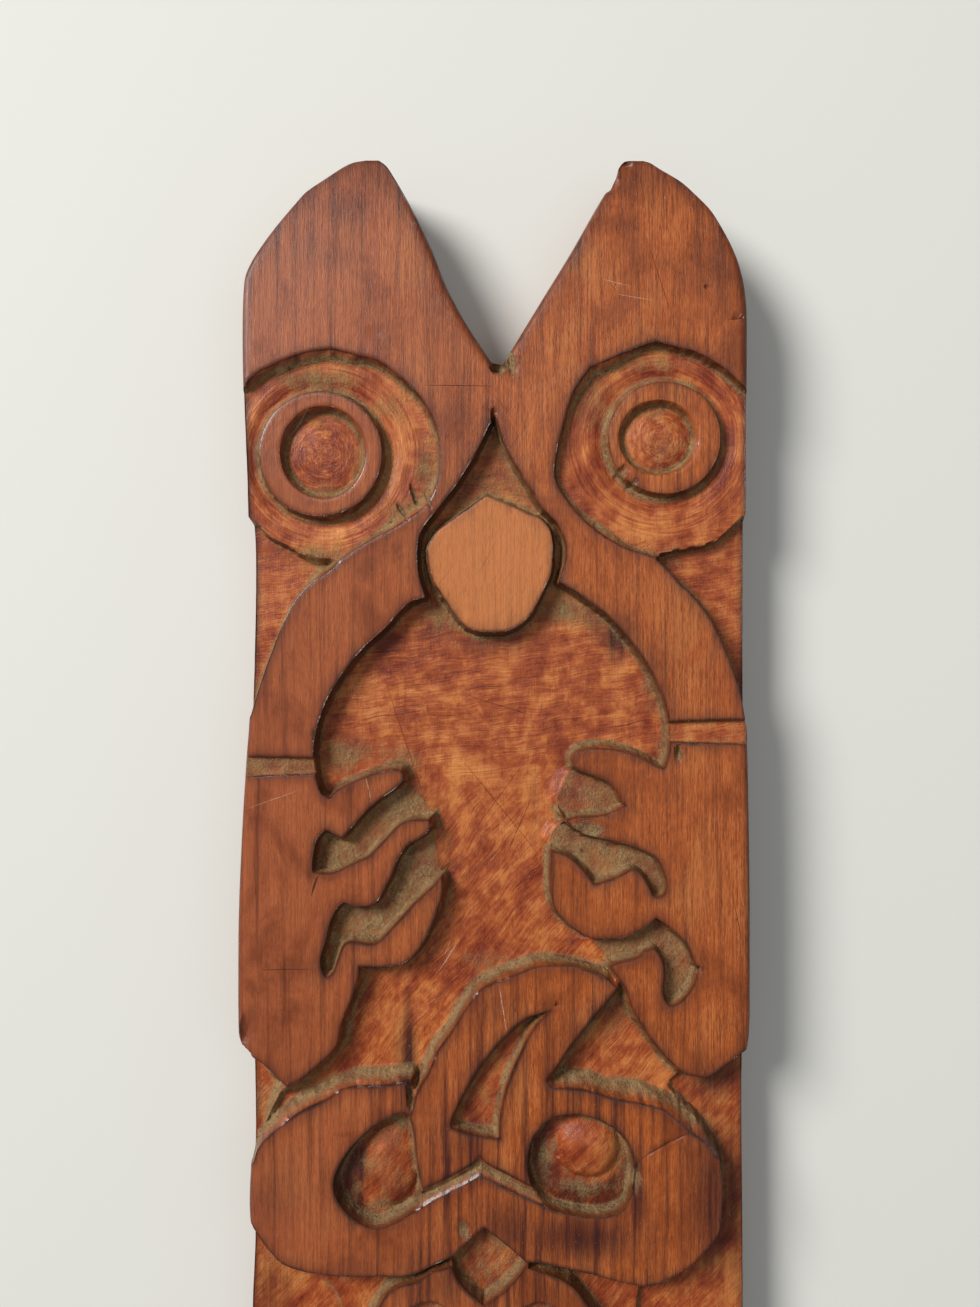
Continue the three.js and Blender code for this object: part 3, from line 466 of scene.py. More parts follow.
def roundedRim(signed):
    near = np.clip(1 + signed / panel["rimReach"], 0, 1)
    return panel["rimDrop"] * near**2


def domeRise(points, place):
    across, down, halfWidth, halfHeight, rise = place
    away = ((points[:, 0] - across) / halfWidth) ** 2 + ((points[:, 1] - panel["length"] / 2 + down) / halfHeight) ** 2
    return rise * np.sqrt(np.clip(1 - away, 0, 1))


def mound(points, signed, place):
    across, down, halfWidth, halfHeight, rise, skirt = place
    x, y = points[:, 0] - across, points[:, 1] - panel["length"] / 2 + down
    away = np.hypot(x / halfWidth, y / halfHeight)
    ball = rise * np.sqrt(np.clip(1 - away**2, 0, 1))
    facets = 0.3 * np.abs(np.sin(3.5 * np.arctan2(y, x) + 0.6)) * np.clip(away * 2 - 1.2, 0, 1)
    return ball + (skirt - facets) * np.clip(signed / 6.5, 0, 1)


def turnedDistance(points, dent):
    across, down, halfWidth, halfHeight, turn = dent[:5]
    x, y = points[:, 0] - across, points[:, 1] - panel["length"] / 2 + down
    cos, sin = math.cos(math.radians(turn)), math.sin(math.radians(turn))
    return np.hypot((x * cos + y * sin) / halfWidth, (y * cos - x * sin) / halfHeight)


def spotShare(points, spots):
    total = np.zeros(len(points))
    for across, down, reachAcross, reachDown, strength in spots:
        away = np.hypot((points[:, 0] - across) / reachAcross, (points[:, 1] - panel["length"] / 2 + down) / reachDown)
        total = np.maximum(total, strength * np.exp(-(away**2)))
    return total


def carve(points):
    count = len(points)
    depth, foot, rim, dust, stainAndShade, tone = (np.zeros(count) for _ in range(6))
    roughness = 0.09 * noiseAt(points, 3.1, 3.9) + 0.05 * noiseAt(points, 1.6, 2.3, 9)
    uneven = 0.2 * noiseAt(points, 1.7, 2.2, 21) + 0.13 * noiseAt(points, 0.8, 1.0, 33)
    fields = {name: signedDistance(points, hollowLoops[name], 4.5) for name in hollows}
    gaps = np.max([fields[name] for name in hollows if name.endswith("Gap")], 0)
    for name, settings in hollows.items():
        signed = fields[name]
        width = wallWidth(points, settings)
        joined = signed
        floor = settings["depth"] + roughness
        if name.endswith("Gap"):
            joined = np.where(signed > 0, signed + np.clip(fields["chest"], 0, None), signed)
        if name == "chest":
            joined = np.where(signed > 0, signed + np.clip(gaps, 0, None), signed)
            floor = floor - 1.1 * (1 - np.clip(signed / 3.5, 0, 1)) * np.clip(gaps / 0.9, 0, 1)
        within = np.clip(joined / 0.35, 0, 1) * np.clip(2 - joined / width, 0, 1)
        share = wallShare(joined + uneven * within * (0.5 + 0.5 * width), width)
        if name in domes:
            floor = floor - mound(points, signed, domes[name])
            away = turnedDistance(points, domes[name][:4] + (0,))
            skirtDust = 0.75 * np.exp(-(((away - 1.08) / 0.14) ** 2)) * (0.7 + noiseAt(points, 4, 4, 61))
            # The skirt round the ball is painted darker, a painted shade.
            skirtShade = 0.75 * np.clip(4 * away - 4.6, 0, 1) * (signed > 0)
        here = np.where(signed >= 0, panel["rimDrop"] + (floor - panel["rimDrop"]) * share, roundedRim(signed))
        past = np.clip(joined - width, 0, None)
        bare = np.clip((floor - depth) / 2.2, 0, 1)
        dusty = np.maximum(settings["dust"], 0.95 * bare * np.exp(-past / 0.7)) * np.clip(3 * share - 0.3, 0, 1)
        lead = np.clip((here - depth) / 0.7 + 0.5, 0, 1) * (signed > 0)
        dust = dust + (dusty - dust) * lead
        foot = foot + (share - foot) * lead
        if name in domes:
            dust = np.where(signed > 0, np.maximum(dust, skirtDust), dust)
        rim = np.maximum(rim, np.where(signed <= 0, np.exp(signed / 0.6), 0))
        stainAndShade = np.maximum(stainAndShade, np.where(signed <= 0, 0.75 * np.exp(signed / 1.6), 0) * np.clip(1 - depth / 1.2, 0, 1))
        stainAndShade = stainAndShade * np.where(signed > 0, 0.3, 1)
        if name in domes:
            stainAndShade = np.maximum(stainAndShade, skirtShade)
        blend = np.clip(0.8 - np.abs(here - depth), 0, None) ** 2 / 3.2 * (np.minimum(here, depth) > 1.5)
        depth = np.where(here > depth, here, depth) + blend
    loops = {"nose": noseLoop, "leftRing": roundLoops["leftRing"], "rightRing": roundLoops["rightRing"]}
    for name, top in islands.items():
        signed = signedDistance(points, loops[name], 7.0)
        within = np.clip(-signed / 0.35, 0, 1) * np.clip(2 + signed, 0, 1)
        share = wallShare(-signed + uneven * within, 0.8)
        groove = 0.7 * np.exp(-(((signed + 2.0) / 1.3) ** 2)) * (signed < 0) * (depth > 1) * (name != "nose")
        edge = top + panel["rimDrop"]
        onTop = top + roundedRim(-signed) + 0.04 * noiseAt(points, 5, 7, 3)
        limit = np.where(signed >= 0, onTop, edge + np.clip(depth + groove - edge, 0, None) * share)
        standing = (limit < depth + groove) | (signed >= 0)
        dusty = 0.85 * np.exp(-np.clip(-signed - 1.4, 0, None) / 0.8)
        dust = np.where(signed >= 0, 0, np.maximum(dust, np.where(depth > 1, dusty, 0)))
        foot = np.where(signed >= 0, 0, foot)
        rim = np.where(signed >= 0, np.exp(-signed / 0.6), rim)
        stainAndShade = np.where(signed >= 0, 0.5 * np.exp(-signed / 1.3), stainAndShade)
        depth = np.where(standing, np.minimum(limit, np.maximum(depth + groove, top)), depth + groove)
        if name == "nose":
            tone = np.where(signed >= -0.3, 1.0, tone)
    for name, settings in pupils.items():
        signed = signedDistance(points, roundLoops[name], 6.0)
        within = np.clip(signed / 0.35, 0, 1) * np.clip(2 - signed, 0, 1)
        share = wallShare(signed + uneven * within, settings["wall"])
        across, down, halfWidth, halfHeight = rounds[name]
        floor = settings["depth"] + roughness
        floor = floor - domeRise(points, (across, down, halfWidth - 1.6, halfHeight - 1.6, settings["rise"]))
        if name == "rightPupil":
            floor = floor + 0.35 * np.clip(noiseAt(points, 1.3, 1.5, 51), 0, 1)
        inside = signed > 0
        depth = np.where(inside, depth + (floor - depth) * share, np.maximum(depth, depth + roundedRim(signed)))
        past = np.clip(signed - settings["wall"], 0, None)
        dusty = np.maximum(settings["dust"], 0.9 * np.exp(-past / 0.9)) * np.clip(3 * share - 0.3, 0, 1)
        dust = np.where(inside, dusty, dust)
        foot = np.where(inside, share, foot)
        rim = np.where(inside, rim, np.maximum(rim, np.exp(signed / 0.6)))
    for dent in dents.values():
        away = turnedDistance(points, dent) * (1 + 0.5 * uneven)
        inside = np.clip(1 - away**2, 0, 1)
        depth = depth + dent[5] * inside * (1 + 1.2 * uneven)
        dust = np.maximum(dust, dent[6] * np.clip(2.5 * inside, 0, 1))
        foot = np.maximum(foot, np.clip(2.5 * inside, 0, 1) * (dent[6] > 0.3))
        stainAndShade = np.maximum(stainAndShade, (0.6 if dent[6] else 0.25) * np.clip(1.7 - away, 0, 1))
    dust = np.maximum(dust, spotShare(points, dustSpots) * np.clip(2 * foot - 0.6, 0, 1))
    stainAndShade = np.maximum(stainAndShade, spotShare(points, stainAndShadeSpots))
    inset = boardInset(points)
    reach = np.clip(panel["edgeRound"] - inset, 0, panel["edgeRound"])
    rounding = panel["edgeRound"] - np.sqrt(panel["edgeRound"] ** 2 - reach**2)
    down = panel["length"] / 2 - points[:, 1]
    ease = panel["earEase"] * np.clip(1 - down / 26, 0, 1) ** 2
    stainAndShade = np.maximum(stainAndShade, 0.75 * np.clip(1 - inset / (2.2 + 4.5 * np.clip(1 - down / 60, 0, 1)), 0, 1))
    surface = (0.035 * noiseAt(points, 9, 15, 5) + 0.02) * np.clip(1 - foot * 2, 0, 1)
    depth = np.maximum(depth + surface + ease, rounding)
    depth = np.clip(depth, 0, None)
    onFace = np.clip(1 - depth / 1.2, 0, 1)
    rim = rim * onFace
    return {"depth": depth, "foot": foot, "rim": rim, "dust": dust, "tone": tone, "stainAndShade": stainAndShade}


def thinned(groups):
    taken, kept = {}, []
    for points, gap in groups:
        for x, y in points:
            i, j = int(x // 0.8), int(y // 0.8)
            free = True
            for a in (i - 1, i, i + 1):
                for b in (j - 1, j, j + 1):
                    for u, v in taken.get((a, b), ()):
                        if (u - x) ** 2 + (v - y) ** 2 < gap * gap:
                            free = False
                            break
                    if not free:
                        break
                if not free:
                    break
            if free:
                taken.setdefault((i, j), []).append((x, y))
                kept.append((x, y))
    return np.array(kept)


def resampled(loop, step):
    lengths = np.linalg.norm(np.roll(loop, -1, 0) - loop, axis=1)
    reach = np.concatenate([[0], np.cumsum(lengths)])
    closed = np.vstack([loop, loop[:1]])
    at = np.arange(0, reach[-1], step)
    return np.stack([np.interp(at, reach, closed[:, 0]), np.interp(at, reach, closed[:, 1])], 1)


def dentPoints(dent):
    across, down, halfWidth, halfHeight, turn = dent[:5]
    step = max(0.18, min(halfWidth, halfHeight) / 2)
    x, y = np.meshgrid(np.arange(-1.15 * halfWidth, 1.15 * halfWidth + 0.01, step), np.arange(-1.15 * halfHeight, 1.15 * halfHeight + 0.01, max(step, 0.35)))
    cos, sin = math.cos(math.radians(turn)), math.sin(math.radians(turn))
    x, y = x.ravel(), y.ravel()
    return np.stack([across + x * cos - y * sin, panel["length"] / 2 - down + x * sin + y * cos], 1)


def samplePoints():
    rims, feet, nearRims, wide = [], [], [], []
    for name, settings in hollows.items():
        loop = hollowLoops[name]
        rims.append(loop)
        feet.append(resampled(shifted(loop, settings["wall"]), 0.45))
        feet.append(resampled(shifted(loop, settings["wall"] * 0.5), 0.45))
        nearRims.append(resampled(shifted(loop, -panel["rimReach"]), 0.5))
        wide.append(resampled(shifted(loop, settings["wall"] + 0.5), 0.6))
        wide.append(resampled(shifted(loop, -1.1), 0.8))
        wide.append(resampled(shifted(loop, settings["wall"] + 1.1), 0.7))
        if settings["wide"]:
            wide += [resampled(shifted(loop, settings["wall"] + extra), 0.7) for extra in (1.7, 2.3, 2.9, 3.5)]
    for name, loop in [("nose", noseLoop)] + list(roundLoops.items()):
        side = 1 if name in pupils else -1
        rims.append(loop)
        feet += [resampled(shifted(loop, side * 0.85), 0.45), resampled(shifted(loop, side * 0.42), 0.45)]
        nearRims.append(resampled(shifted(loop, -side * panel["rimReach"]), 0.5))
        wide += [resampled(shifted(loop, side * inset), 0.6) for inset in (1.3, 1.8, 2.4, 3.1)]
        wide.append(resampled(shifted(loop, -side * 1.1), 0.8))
    edgeRows = [shifted(boardLoop, inset) for inset in (0.12, 0.45, 0.95, 1.8)]
    half = panel["length"] / 2
    x, y = np.meshgrid(np.arange(-65, 65, panel["fillStep"]), np.arange(-half, half, panel["fillStep"]))
    fill = np.stack([x.ravel(), y.ravel()], 1)
    wobble = np.random.default_rng(11).uniform(-0.4, 0.4, fill.shape)
    fill = fill + wobble * panel["fillStep"] * 0.8
    chips = np.vstack([dentPoints(dent) for dent in dents.values()])
    balls = [fill * 0.5 + np.array([place[0], half - place[1]]) for place in domes.values()]
    balls = [points[np.hypot(*(points - np.array([place[0], half - place[1]])).T) < 12] for points, place in zip(balls, domes.values())]
    inner = [(np.vstack(rims), 0.24), (np.vstack(feet), 0.27), (np.vstack(edgeRows), 0.28), (chips, 0.2)]
    inner += [(np.vstack(nearRims), 0.3), (np.vstack(wide), 0.42), (np.vstack(balls), 0.5), (fill, 0.8)]
    cleared = []
    for points, gap in inner:
        cleared.append((points[boardInset(points) > 0.1], gap))
    return thinned([(boardLoop, 0.0)] + cleared)


def gridFill(loop, step):
    x, y = np.meshgrid(np.arange(loop[:, 0].min(), loop[:, 0].max(), step), np.arange(loop[:, 1].min(), loop[:, 1].max(), step))
    fill = np.stack([x.ravel(), y.ravel()], 1)
    return fill[signedDistance(fill, loop, step) > 0.5 * step]


def flatTriangles(loop, fill):
    every = [tuple(point) for point in np.vstack([loop, fill])]
    placed, _, faces, source, *_ = delaunay_2d_cdt(every, [], [list(range(len(loop)))], 1, 1e-7)
    faces = np.array(faces)
    placed = np.array([tuple(point) for point in placed])
    a, b, c = placed[faces[:, 0]], placed[faces[:, 1]], placed[faces[:, 2]]
    turn = (b[:, 0] - a[:, 0]) * (c[:, 1] - a[:, 1]) - (b[:, 1] - a[:, 1]) * (c[:, 0] - a[:, 0])
    faces[turn < 0] = faces[turn < 0][:, ::-1]
    ring = np.zeros(len(loop), int)
    for out, origins in enumerate(source):
        for origin in origins:
            if origin < len(loop):
                ring[origin] = out
    return placed, faces, ring


def panelSurface():
    points = samplePoints()
    placed, faces, ring = flatTriangles(boardLoop, points[len(boardLoop):])
    masks = carve(placed)
    thickness = panel["thickness"]
    vertices = [np.column_stack([placed, thickness - masks["depth"]])]
    allFaces = [faces]
    size = len(placed)
    upper = ring
    top = vertices[0][ring, 2]
    round2 = panel["edgeRound"]
    rows = [(0, share * round2 + (1 - share) * top) for share in (0.33, 0.66, 1.0)]
    rows += [(0.293 * round2, np.full(len(ring), 0.293 * round2)), (round2, np.zeros(len(ring)))]
    for inset, height in rows:
        loop = shifted(boardLoop, inset) if inset else boardLoop
        lower = np.arange(size, size + len(ring))
        vertices.append(np.column_stack([loop, height]))
        size += len(ring)
        upperNext, lowerNext = np.roll(upper, -1), np.roll(lower, -1)
        allFaces += [np.column_stack([upper, lower, lowerNext]), np.column_stack([upper, lowerNext, upperNext])]
        upper = lower
    back = shifted(boardLoop, round2)
    placedBack, facesBack, ringBack = flatTriangles(back, gridFill(back, 12.0))
    index = np.arange(size, size + len(placedBack))
    index[ringBack] = upper
    vertices.append(np.column_stack([placedBack, np.zeros(len(placedBack))]))
    allFaces.append(index[facesBack][:, ::-1])
    vertices, allFaces = np.vstack(vertices), np.vstack(allFaces)
    used = np.unique(allFaces)
    renumber = np.zeros(len(vertices), int)
    renumber[used] = np.arange(len(used))
    for name in masks:
        masks[name] = np.concatenate([masks[name], np.zeros(len(vertices) - len(placed))])[used]
    vertices, allFaces = vertices[used], renumber[allFaces]
    a, b, c = (vertices[allFaces[:, i]] for i in range(3))
    normals = np.cross(b - a, c - a)
    summed = np.zeros((len(vertices), 3))
    for i in range(3):
        np.add.at(summed, allFaces[:, i], normals)
    summed /= np.linalg.norm(summed, axis=1)[:, None]
    masks["steep"] = np.clip(1.25 - 1.5 * np.abs(summed[:, 2]), 0, 1)
    # Walls facing up and towards the light at the upper left: dust ledges, and the side painted lighter.
    masks["ledgeAndLitSide"] = np.clip(0.5 + 0.45 * summed[:, 1] - 0.35 * summed[:, 0], 0, 1)
    return vertices, allFaces, masks


def panelPiece():
    vertices, faces, masks = panelSurface()
    mesh = bpy.data.meshes.new("panelMesh")
    mesh.from_pydata((vertices / 1000).tolist(), [], faces.tolist())
    mesh.validate()
    for name in ("foot", "rim", "dust", "tone", "stainAndShade", "steep", "ledgeAndLitSide"):
        layer = mesh.attributes.new(name, "FLOAT", "POINT")
        layer.data.foreach_set("value", masks[name].astype(np.float32))
    mesh.shade_smooth()
    mesh.set_sharp_from_angle(angle=math.radians(32))
    piece = bpy.data.objects.new("carved_relief", mesh)
    bpy.context.scene.collection.objects.link(piece)
    print("stage: panel", len(vertices), "vertices", len(faces), "triangles")
    return piece


# Colours, 0 to 255, as they look in daylight; the rosy colour is a painted sheen, the two wall colours are painted
# shade, and the pale scratch colour also paints glints.
colours = {
    "raisedDark": (90, 38, 18),
    "raisedMiddle": (178, 92, 42),
    "raisedLight": (220, 140, 78),
    "leftSheen": (156, 86, 58),
    "floorRed": (122, 46, 24),
    "floorMiddle": (172, 86, 42),
    "floorAmber": (222, 142, 76),
    "noseTan": (206, 128, 74),
    "streakPurple": (52, 22, 24),
    "edgeDark": (40, 18, 12),
    "wallShadedBrown": (104, 60, 34),
    "wallShadowSide": (48, 28, 18),
    "dustPale": (168, 142, 100),
    "dustMiddle": (120, 96, 62),
    "dustDeep": (46, 34, 20),
    "paleScratchAndGlint": (226, 198, 170),
}
# Knife scores and scratches in the varnish: ((across, down) start, end, half width, pale or dark), in millimetres.
scores = [
    ((-17.5, 57.0), (-1.0, 57.2), 0.07, "dark"), ((49, 243.8), (37, 250.3), 0.09, "dark"), ((59, 40.6), (62.5, 40.2), 0.1, "dark"),
    ((12.5, 279), (13.2, 286), 0.08, "dark"), ((60, 186), (62, 196), 0.07, "dark"), ((-28, 130), (-18, 160), 0.05, "dark"),
    ((27, 30.5), (34, 32.2), 0.09, "pale"), ((30.5, 34.2), (40, 35.8), 0.08, "pale"), ((28, 29), (31, 33.5), 0.05, "pale"),
    ((1.2, 206.5), (3.1, 218.5), 0.11, "pale"), ((-9.8, 198.5), (-14, 205), 0.16, "pale"), ((-11, 197), (-12.6, 201), 0.09, "pale"),
    ((-32.1, 155.2), (-31.2, 158.4), 0.1, "pale"), ((-31.2, 158.2), (-30.8, 161.2), 0.09, "pale"),
    ((-44.0, 179.6), (-45.6, 184.6), 0.32, "dark"), ((-58, 203.2), (-46, 203.0), 0.06, "dark"), ((-62, 163), (-48, 158), 0.06, "pale"),
    ((-9, 150), (12, 176), 0.05, "dark"), ((-7, 172), (9, 150), 0.05, "dark"), ((2, 178), (10, 160), 0.06, "dark"),
    ((-6, 135), (10, 140), 0.05, "dark"), ((-52, 70), (-46, 62), 0.06, "pale"), ((38, 20), (46, 44), 0.04, "dark"),
]


def linear(name):
    tones = [channel / 255 for channel in colours[name]]
    return tuple(tone / 12.92 if tone <= 0.04045 else ((tone + 0.055) / 1.055) ** 2.4 for tone in tones) + (1.0,)


class Wiring:
    def __init__(self, tree):
        self.tree = tree

    def add(self, kind, inputs, **settings):
        node = self.tree.nodes.new(kind)
        for key, value in settings.items():
            setattr(node, key, value)
        for key, value in inputs.items():
            if isinstance(value, bpy.types.NodeSocket):
                self.tree.links.new(value, node.inputs[key])
            else:
                node.inputs[key].default_value = value
        return node

    def maths(self, operation, a, b=0.0, clamp=False):
        return self.add("ShaderNodeMath", {0: a, 1: b}, operation=operation, use_clamp=clamp).outputs[0]

    def stretch(self, place, scales):
        return self.add("ShaderNodeVectorMath", {0: place, 1: scales}, operation="MULTIPLY").outputs[0]

    def turned(self, place, degrees):
        return self.add("ShaderNodeVectorRotate", {"Vector": place, "Angle": math.radians(degrees)}, rotation_type="Z_AXIS").outputs[0]

    def noise(self, place, scales, detail=2.0, roughness=0.55, distortion=0.0):
        inputs = {"Vector": self.stretch(place, scales), "Scale": 1.0, "Detail": detail, "Roughness": roughness, "Distortion": distortion}
        return self.add("ShaderNodeTexNoise", inputs).outputs["Fac"]

    def ramp(self, value, low, high, toLow=0.0, toHigh=1.0):
        inputs = {"Value": value, "From Min": low, "From Max": high, "To Min": toLow, "To Max": toHigh}
        return self.add("ShaderNodeMapRange", inputs, clamp=True).outputs[0]

    def mix(self, share, a, b):
        node = self.add("ShaderNodeMix", {}, data_type="RGBA")
        for socket, value in ((node.inputs[0], share), (node.inputs[6], a), (node.inputs[7], b)):
            if isinstance(value, bpy.types.NodeSocket):
                self.tree.links.new(value, socket)
            else:
                socket.default_value = value
        return node.outputs[2]

    def mask(self, name):
        return self.add("ShaderNodeAttribute", {}, attribute_name=name).outputs["Fac"]


def shaderGroup(name, inputs, outputs, wire):
    tree = bpy.data.node_groups.new(name, "ShaderNodeTree")
    for label, kind in inputs:
        tree.interface.new_socket(label, in_out="INPUT", socket_type=kind)
    for label in outputs:
        tree.interface.new_socket(label, in_out="OUTPUT", socket_type="NodeSocketFloat")
    entry, leave = tree.nodes.new("NodeGroupInput"), tree.nodes.new("NodeGroupOutput")
    results = wire(Wiring(tree), entry.outputs)
    for label in outputs:
        tree.links.new(results[label], leave.inputs[label])
    return tree


def grainWires(w, entry):
    place = entry["Place"]
    sway = w.maths("MULTIPLY", w.noise(place, (30, 9, 30), 1.0), 0.0022)
    shift = w.add("ShaderNodeCombineXYZ", {"X": sway}).outputs[0]
    bent = w.add("ShaderNodeVectorMath", {0: place, 1: shift}, operation="ADD").outputs[0]
    return {
        "Fibre": w.ramp(w.noise(bent, (2000, 60, 500), 5.0, 0.74), 0.35, 0.65),
        "Fine": w.ramp(w.noise(bent, (5200, 420, 1500), 3.0, 0.65), 0.3, 0.7),
        "Streak": w.ramp(w.noise(bent, (420, 13, 150), 5.0, 0.68), 0.36, 0.66),
        "Blotch": w.ramp(w.noise(place, (70, 48, 70), 5.0, 0.66, 0.5), 0.34, 0.66),
        "Pore": w.ramp(w.noise(bent, (3000, 240, 900), 3.0, 0.6), 0.60, 0.70),
        # Tiny pale specks, used as painted glints.
        "PaintedGlint": w.ramp(w.noise(place, (3400, 2300, 3000), 1.0, 0.5), 0.75, 0.81),
    }


def strokeWires(w, entry):
    turned = w.add("ShaderNodeVectorRotate", {"Vector": entry["Place"], "Angle": entry["Turn"]}, rotation_type="Z_AXIS").outputs[0]
    warp = w.maths("MULTIPLY", w.noise(entry["Place"], (60, 60, 60), 2.0), 0.004)
    bent = w.add("ShaderNodeVectorMath", {0: turned, 1: w.add("ShaderNodeCombineXYZ", {"X": warp}).outputs[0]}, operation="ADD").outputs[0]
    return {
        "Broad": w.ramp(w.noise(bent, (330, 90, 200), 5.0, 0.7), 0.32, 0.68),
        "Fine": w.ramp(w.noise(bent, (2600, 130, 900), 4.0, 0.7), 0.3, 0.7),
        "Cut": w.ramp(w.noise(bent, (1700, 34, 300), 3.0, 0.6), 0.64, 0.71),
    }


def roundWires(w, entry):
    local = w.add("ShaderNodeVectorMath", {0: entry["Place"], 1: entry["Middle"]}, operation="SUBTRACT").outputs[0]
    parts = w.add("ShaderNodeSeparateXYZ", {0: local}).outputs
    reach = w.maths("SQRT", w.maths("ADD", w.maths("MULTIPLY", parts["X"], parts["X"]), w.maths("MULTIPLY", parts["Y"], parts["Y"])))
    turn = w.maths("ABSOLUTE", w.maths("ARCTAN2", parts["Y"], w.maths("MULTIPLY", parts["X"], entry["Side"])))
    around = w.add("ShaderNodeCombineXYZ", {"X": reach, "Y": w.maths("MULTIPLY", turn, 0.018)}).outputs[0]
    return {
        "Broad": w.ramp(w.noise(around, (420, 60, 1), 4.0, 0.66), 0.34, 0.66),
        "Fine": w.ramp(w.noise(around, (2000, 130, 1), 3.0, 0.65), 0.32, 0.68),
        "Near": w.ramp(reach, 0.0265, 0.0235),
    }


def grimeWires(w, entry):
    place = entry["Place"]
    return {
        "Grit": w.ramp(w.noise(place, (1900, 1300, 2600), 4.0, 0.72), 0.32, 0.68),
        "Patch": w.ramp(w.noise(place, (260, 180, 260), 4.0, 0.62), 0.36, 0.64),
        "Dark": w.ramp(w.noise(place, (900, 600, 900), 3.0, 0.6), 0.60, 0.70),
    }


def scoreWires(w, entry):
    start, end = entry["Start"], entry["End"]
    along = w.add("ShaderNodeVectorMath", {0: end, 1: start}, operation="SUBTRACT").outputs[0]
    here = w.add("ShaderNodeVectorMath", {0: entry["Place"], 1: start}, operation="SUBTRACT").outputs[0]
    flat = w.add("ShaderNodeVectorMath", {0: here, 1: (1, 1, 0)}, operation="MULTIPLY").outputs[0]
    onto = w.add("ShaderNodeVectorMath", {0: flat, 1: along}, operation="DOT_PRODUCT").outputs["Value"]
    size = w.add("ShaderNodeVectorMath", {0: along, 1: along}, operation="DOT_PRODUCT").outputs["Value"]
    share = w.maths("DIVIDE", onto, size, clamp=True)
    scaled = w.add("ShaderNodeVectorMath", {0: along}, operation="SCALE")
    w.tree.links.new(share, scaled.inputs["Scale"])
    gap = w.add("ShaderNodeVectorMath", {0: flat, 1: scaled.outputs[0]}, operation="DISTANCE").outputs["Value"]
    taper = w.maths("MULTIPLY", entry["Width"], w.maths("SINE", w.maths("ADD", w.maths("MULTIPLY", share, 2.8), 0.17)))
    return {"Line": w.ramp(w.maths("DIVIDE", gap, taper), 1.3, 0.5)}


def scoreMask(w, place, group, kind):
    total = 0.0
    for start, end, width, shade in scores:
        if shade != kind:
            continue
        line = w.add("ShaderNodeGroup", {}, node_tree=group)
        w.tree.links.new(place, line.inputs["Place"])
        for label, point in (("Start", start), ("End", end)):
            line.inputs[label].default_value = (point[0] / 1000, (panel["length"] / 2 - point[1]) / 1000, 0)
        line.inputs["Width"].default_value = width / 1000
        total = w.maths("MAXIMUM", total, line.outputs["Line"])
    return total


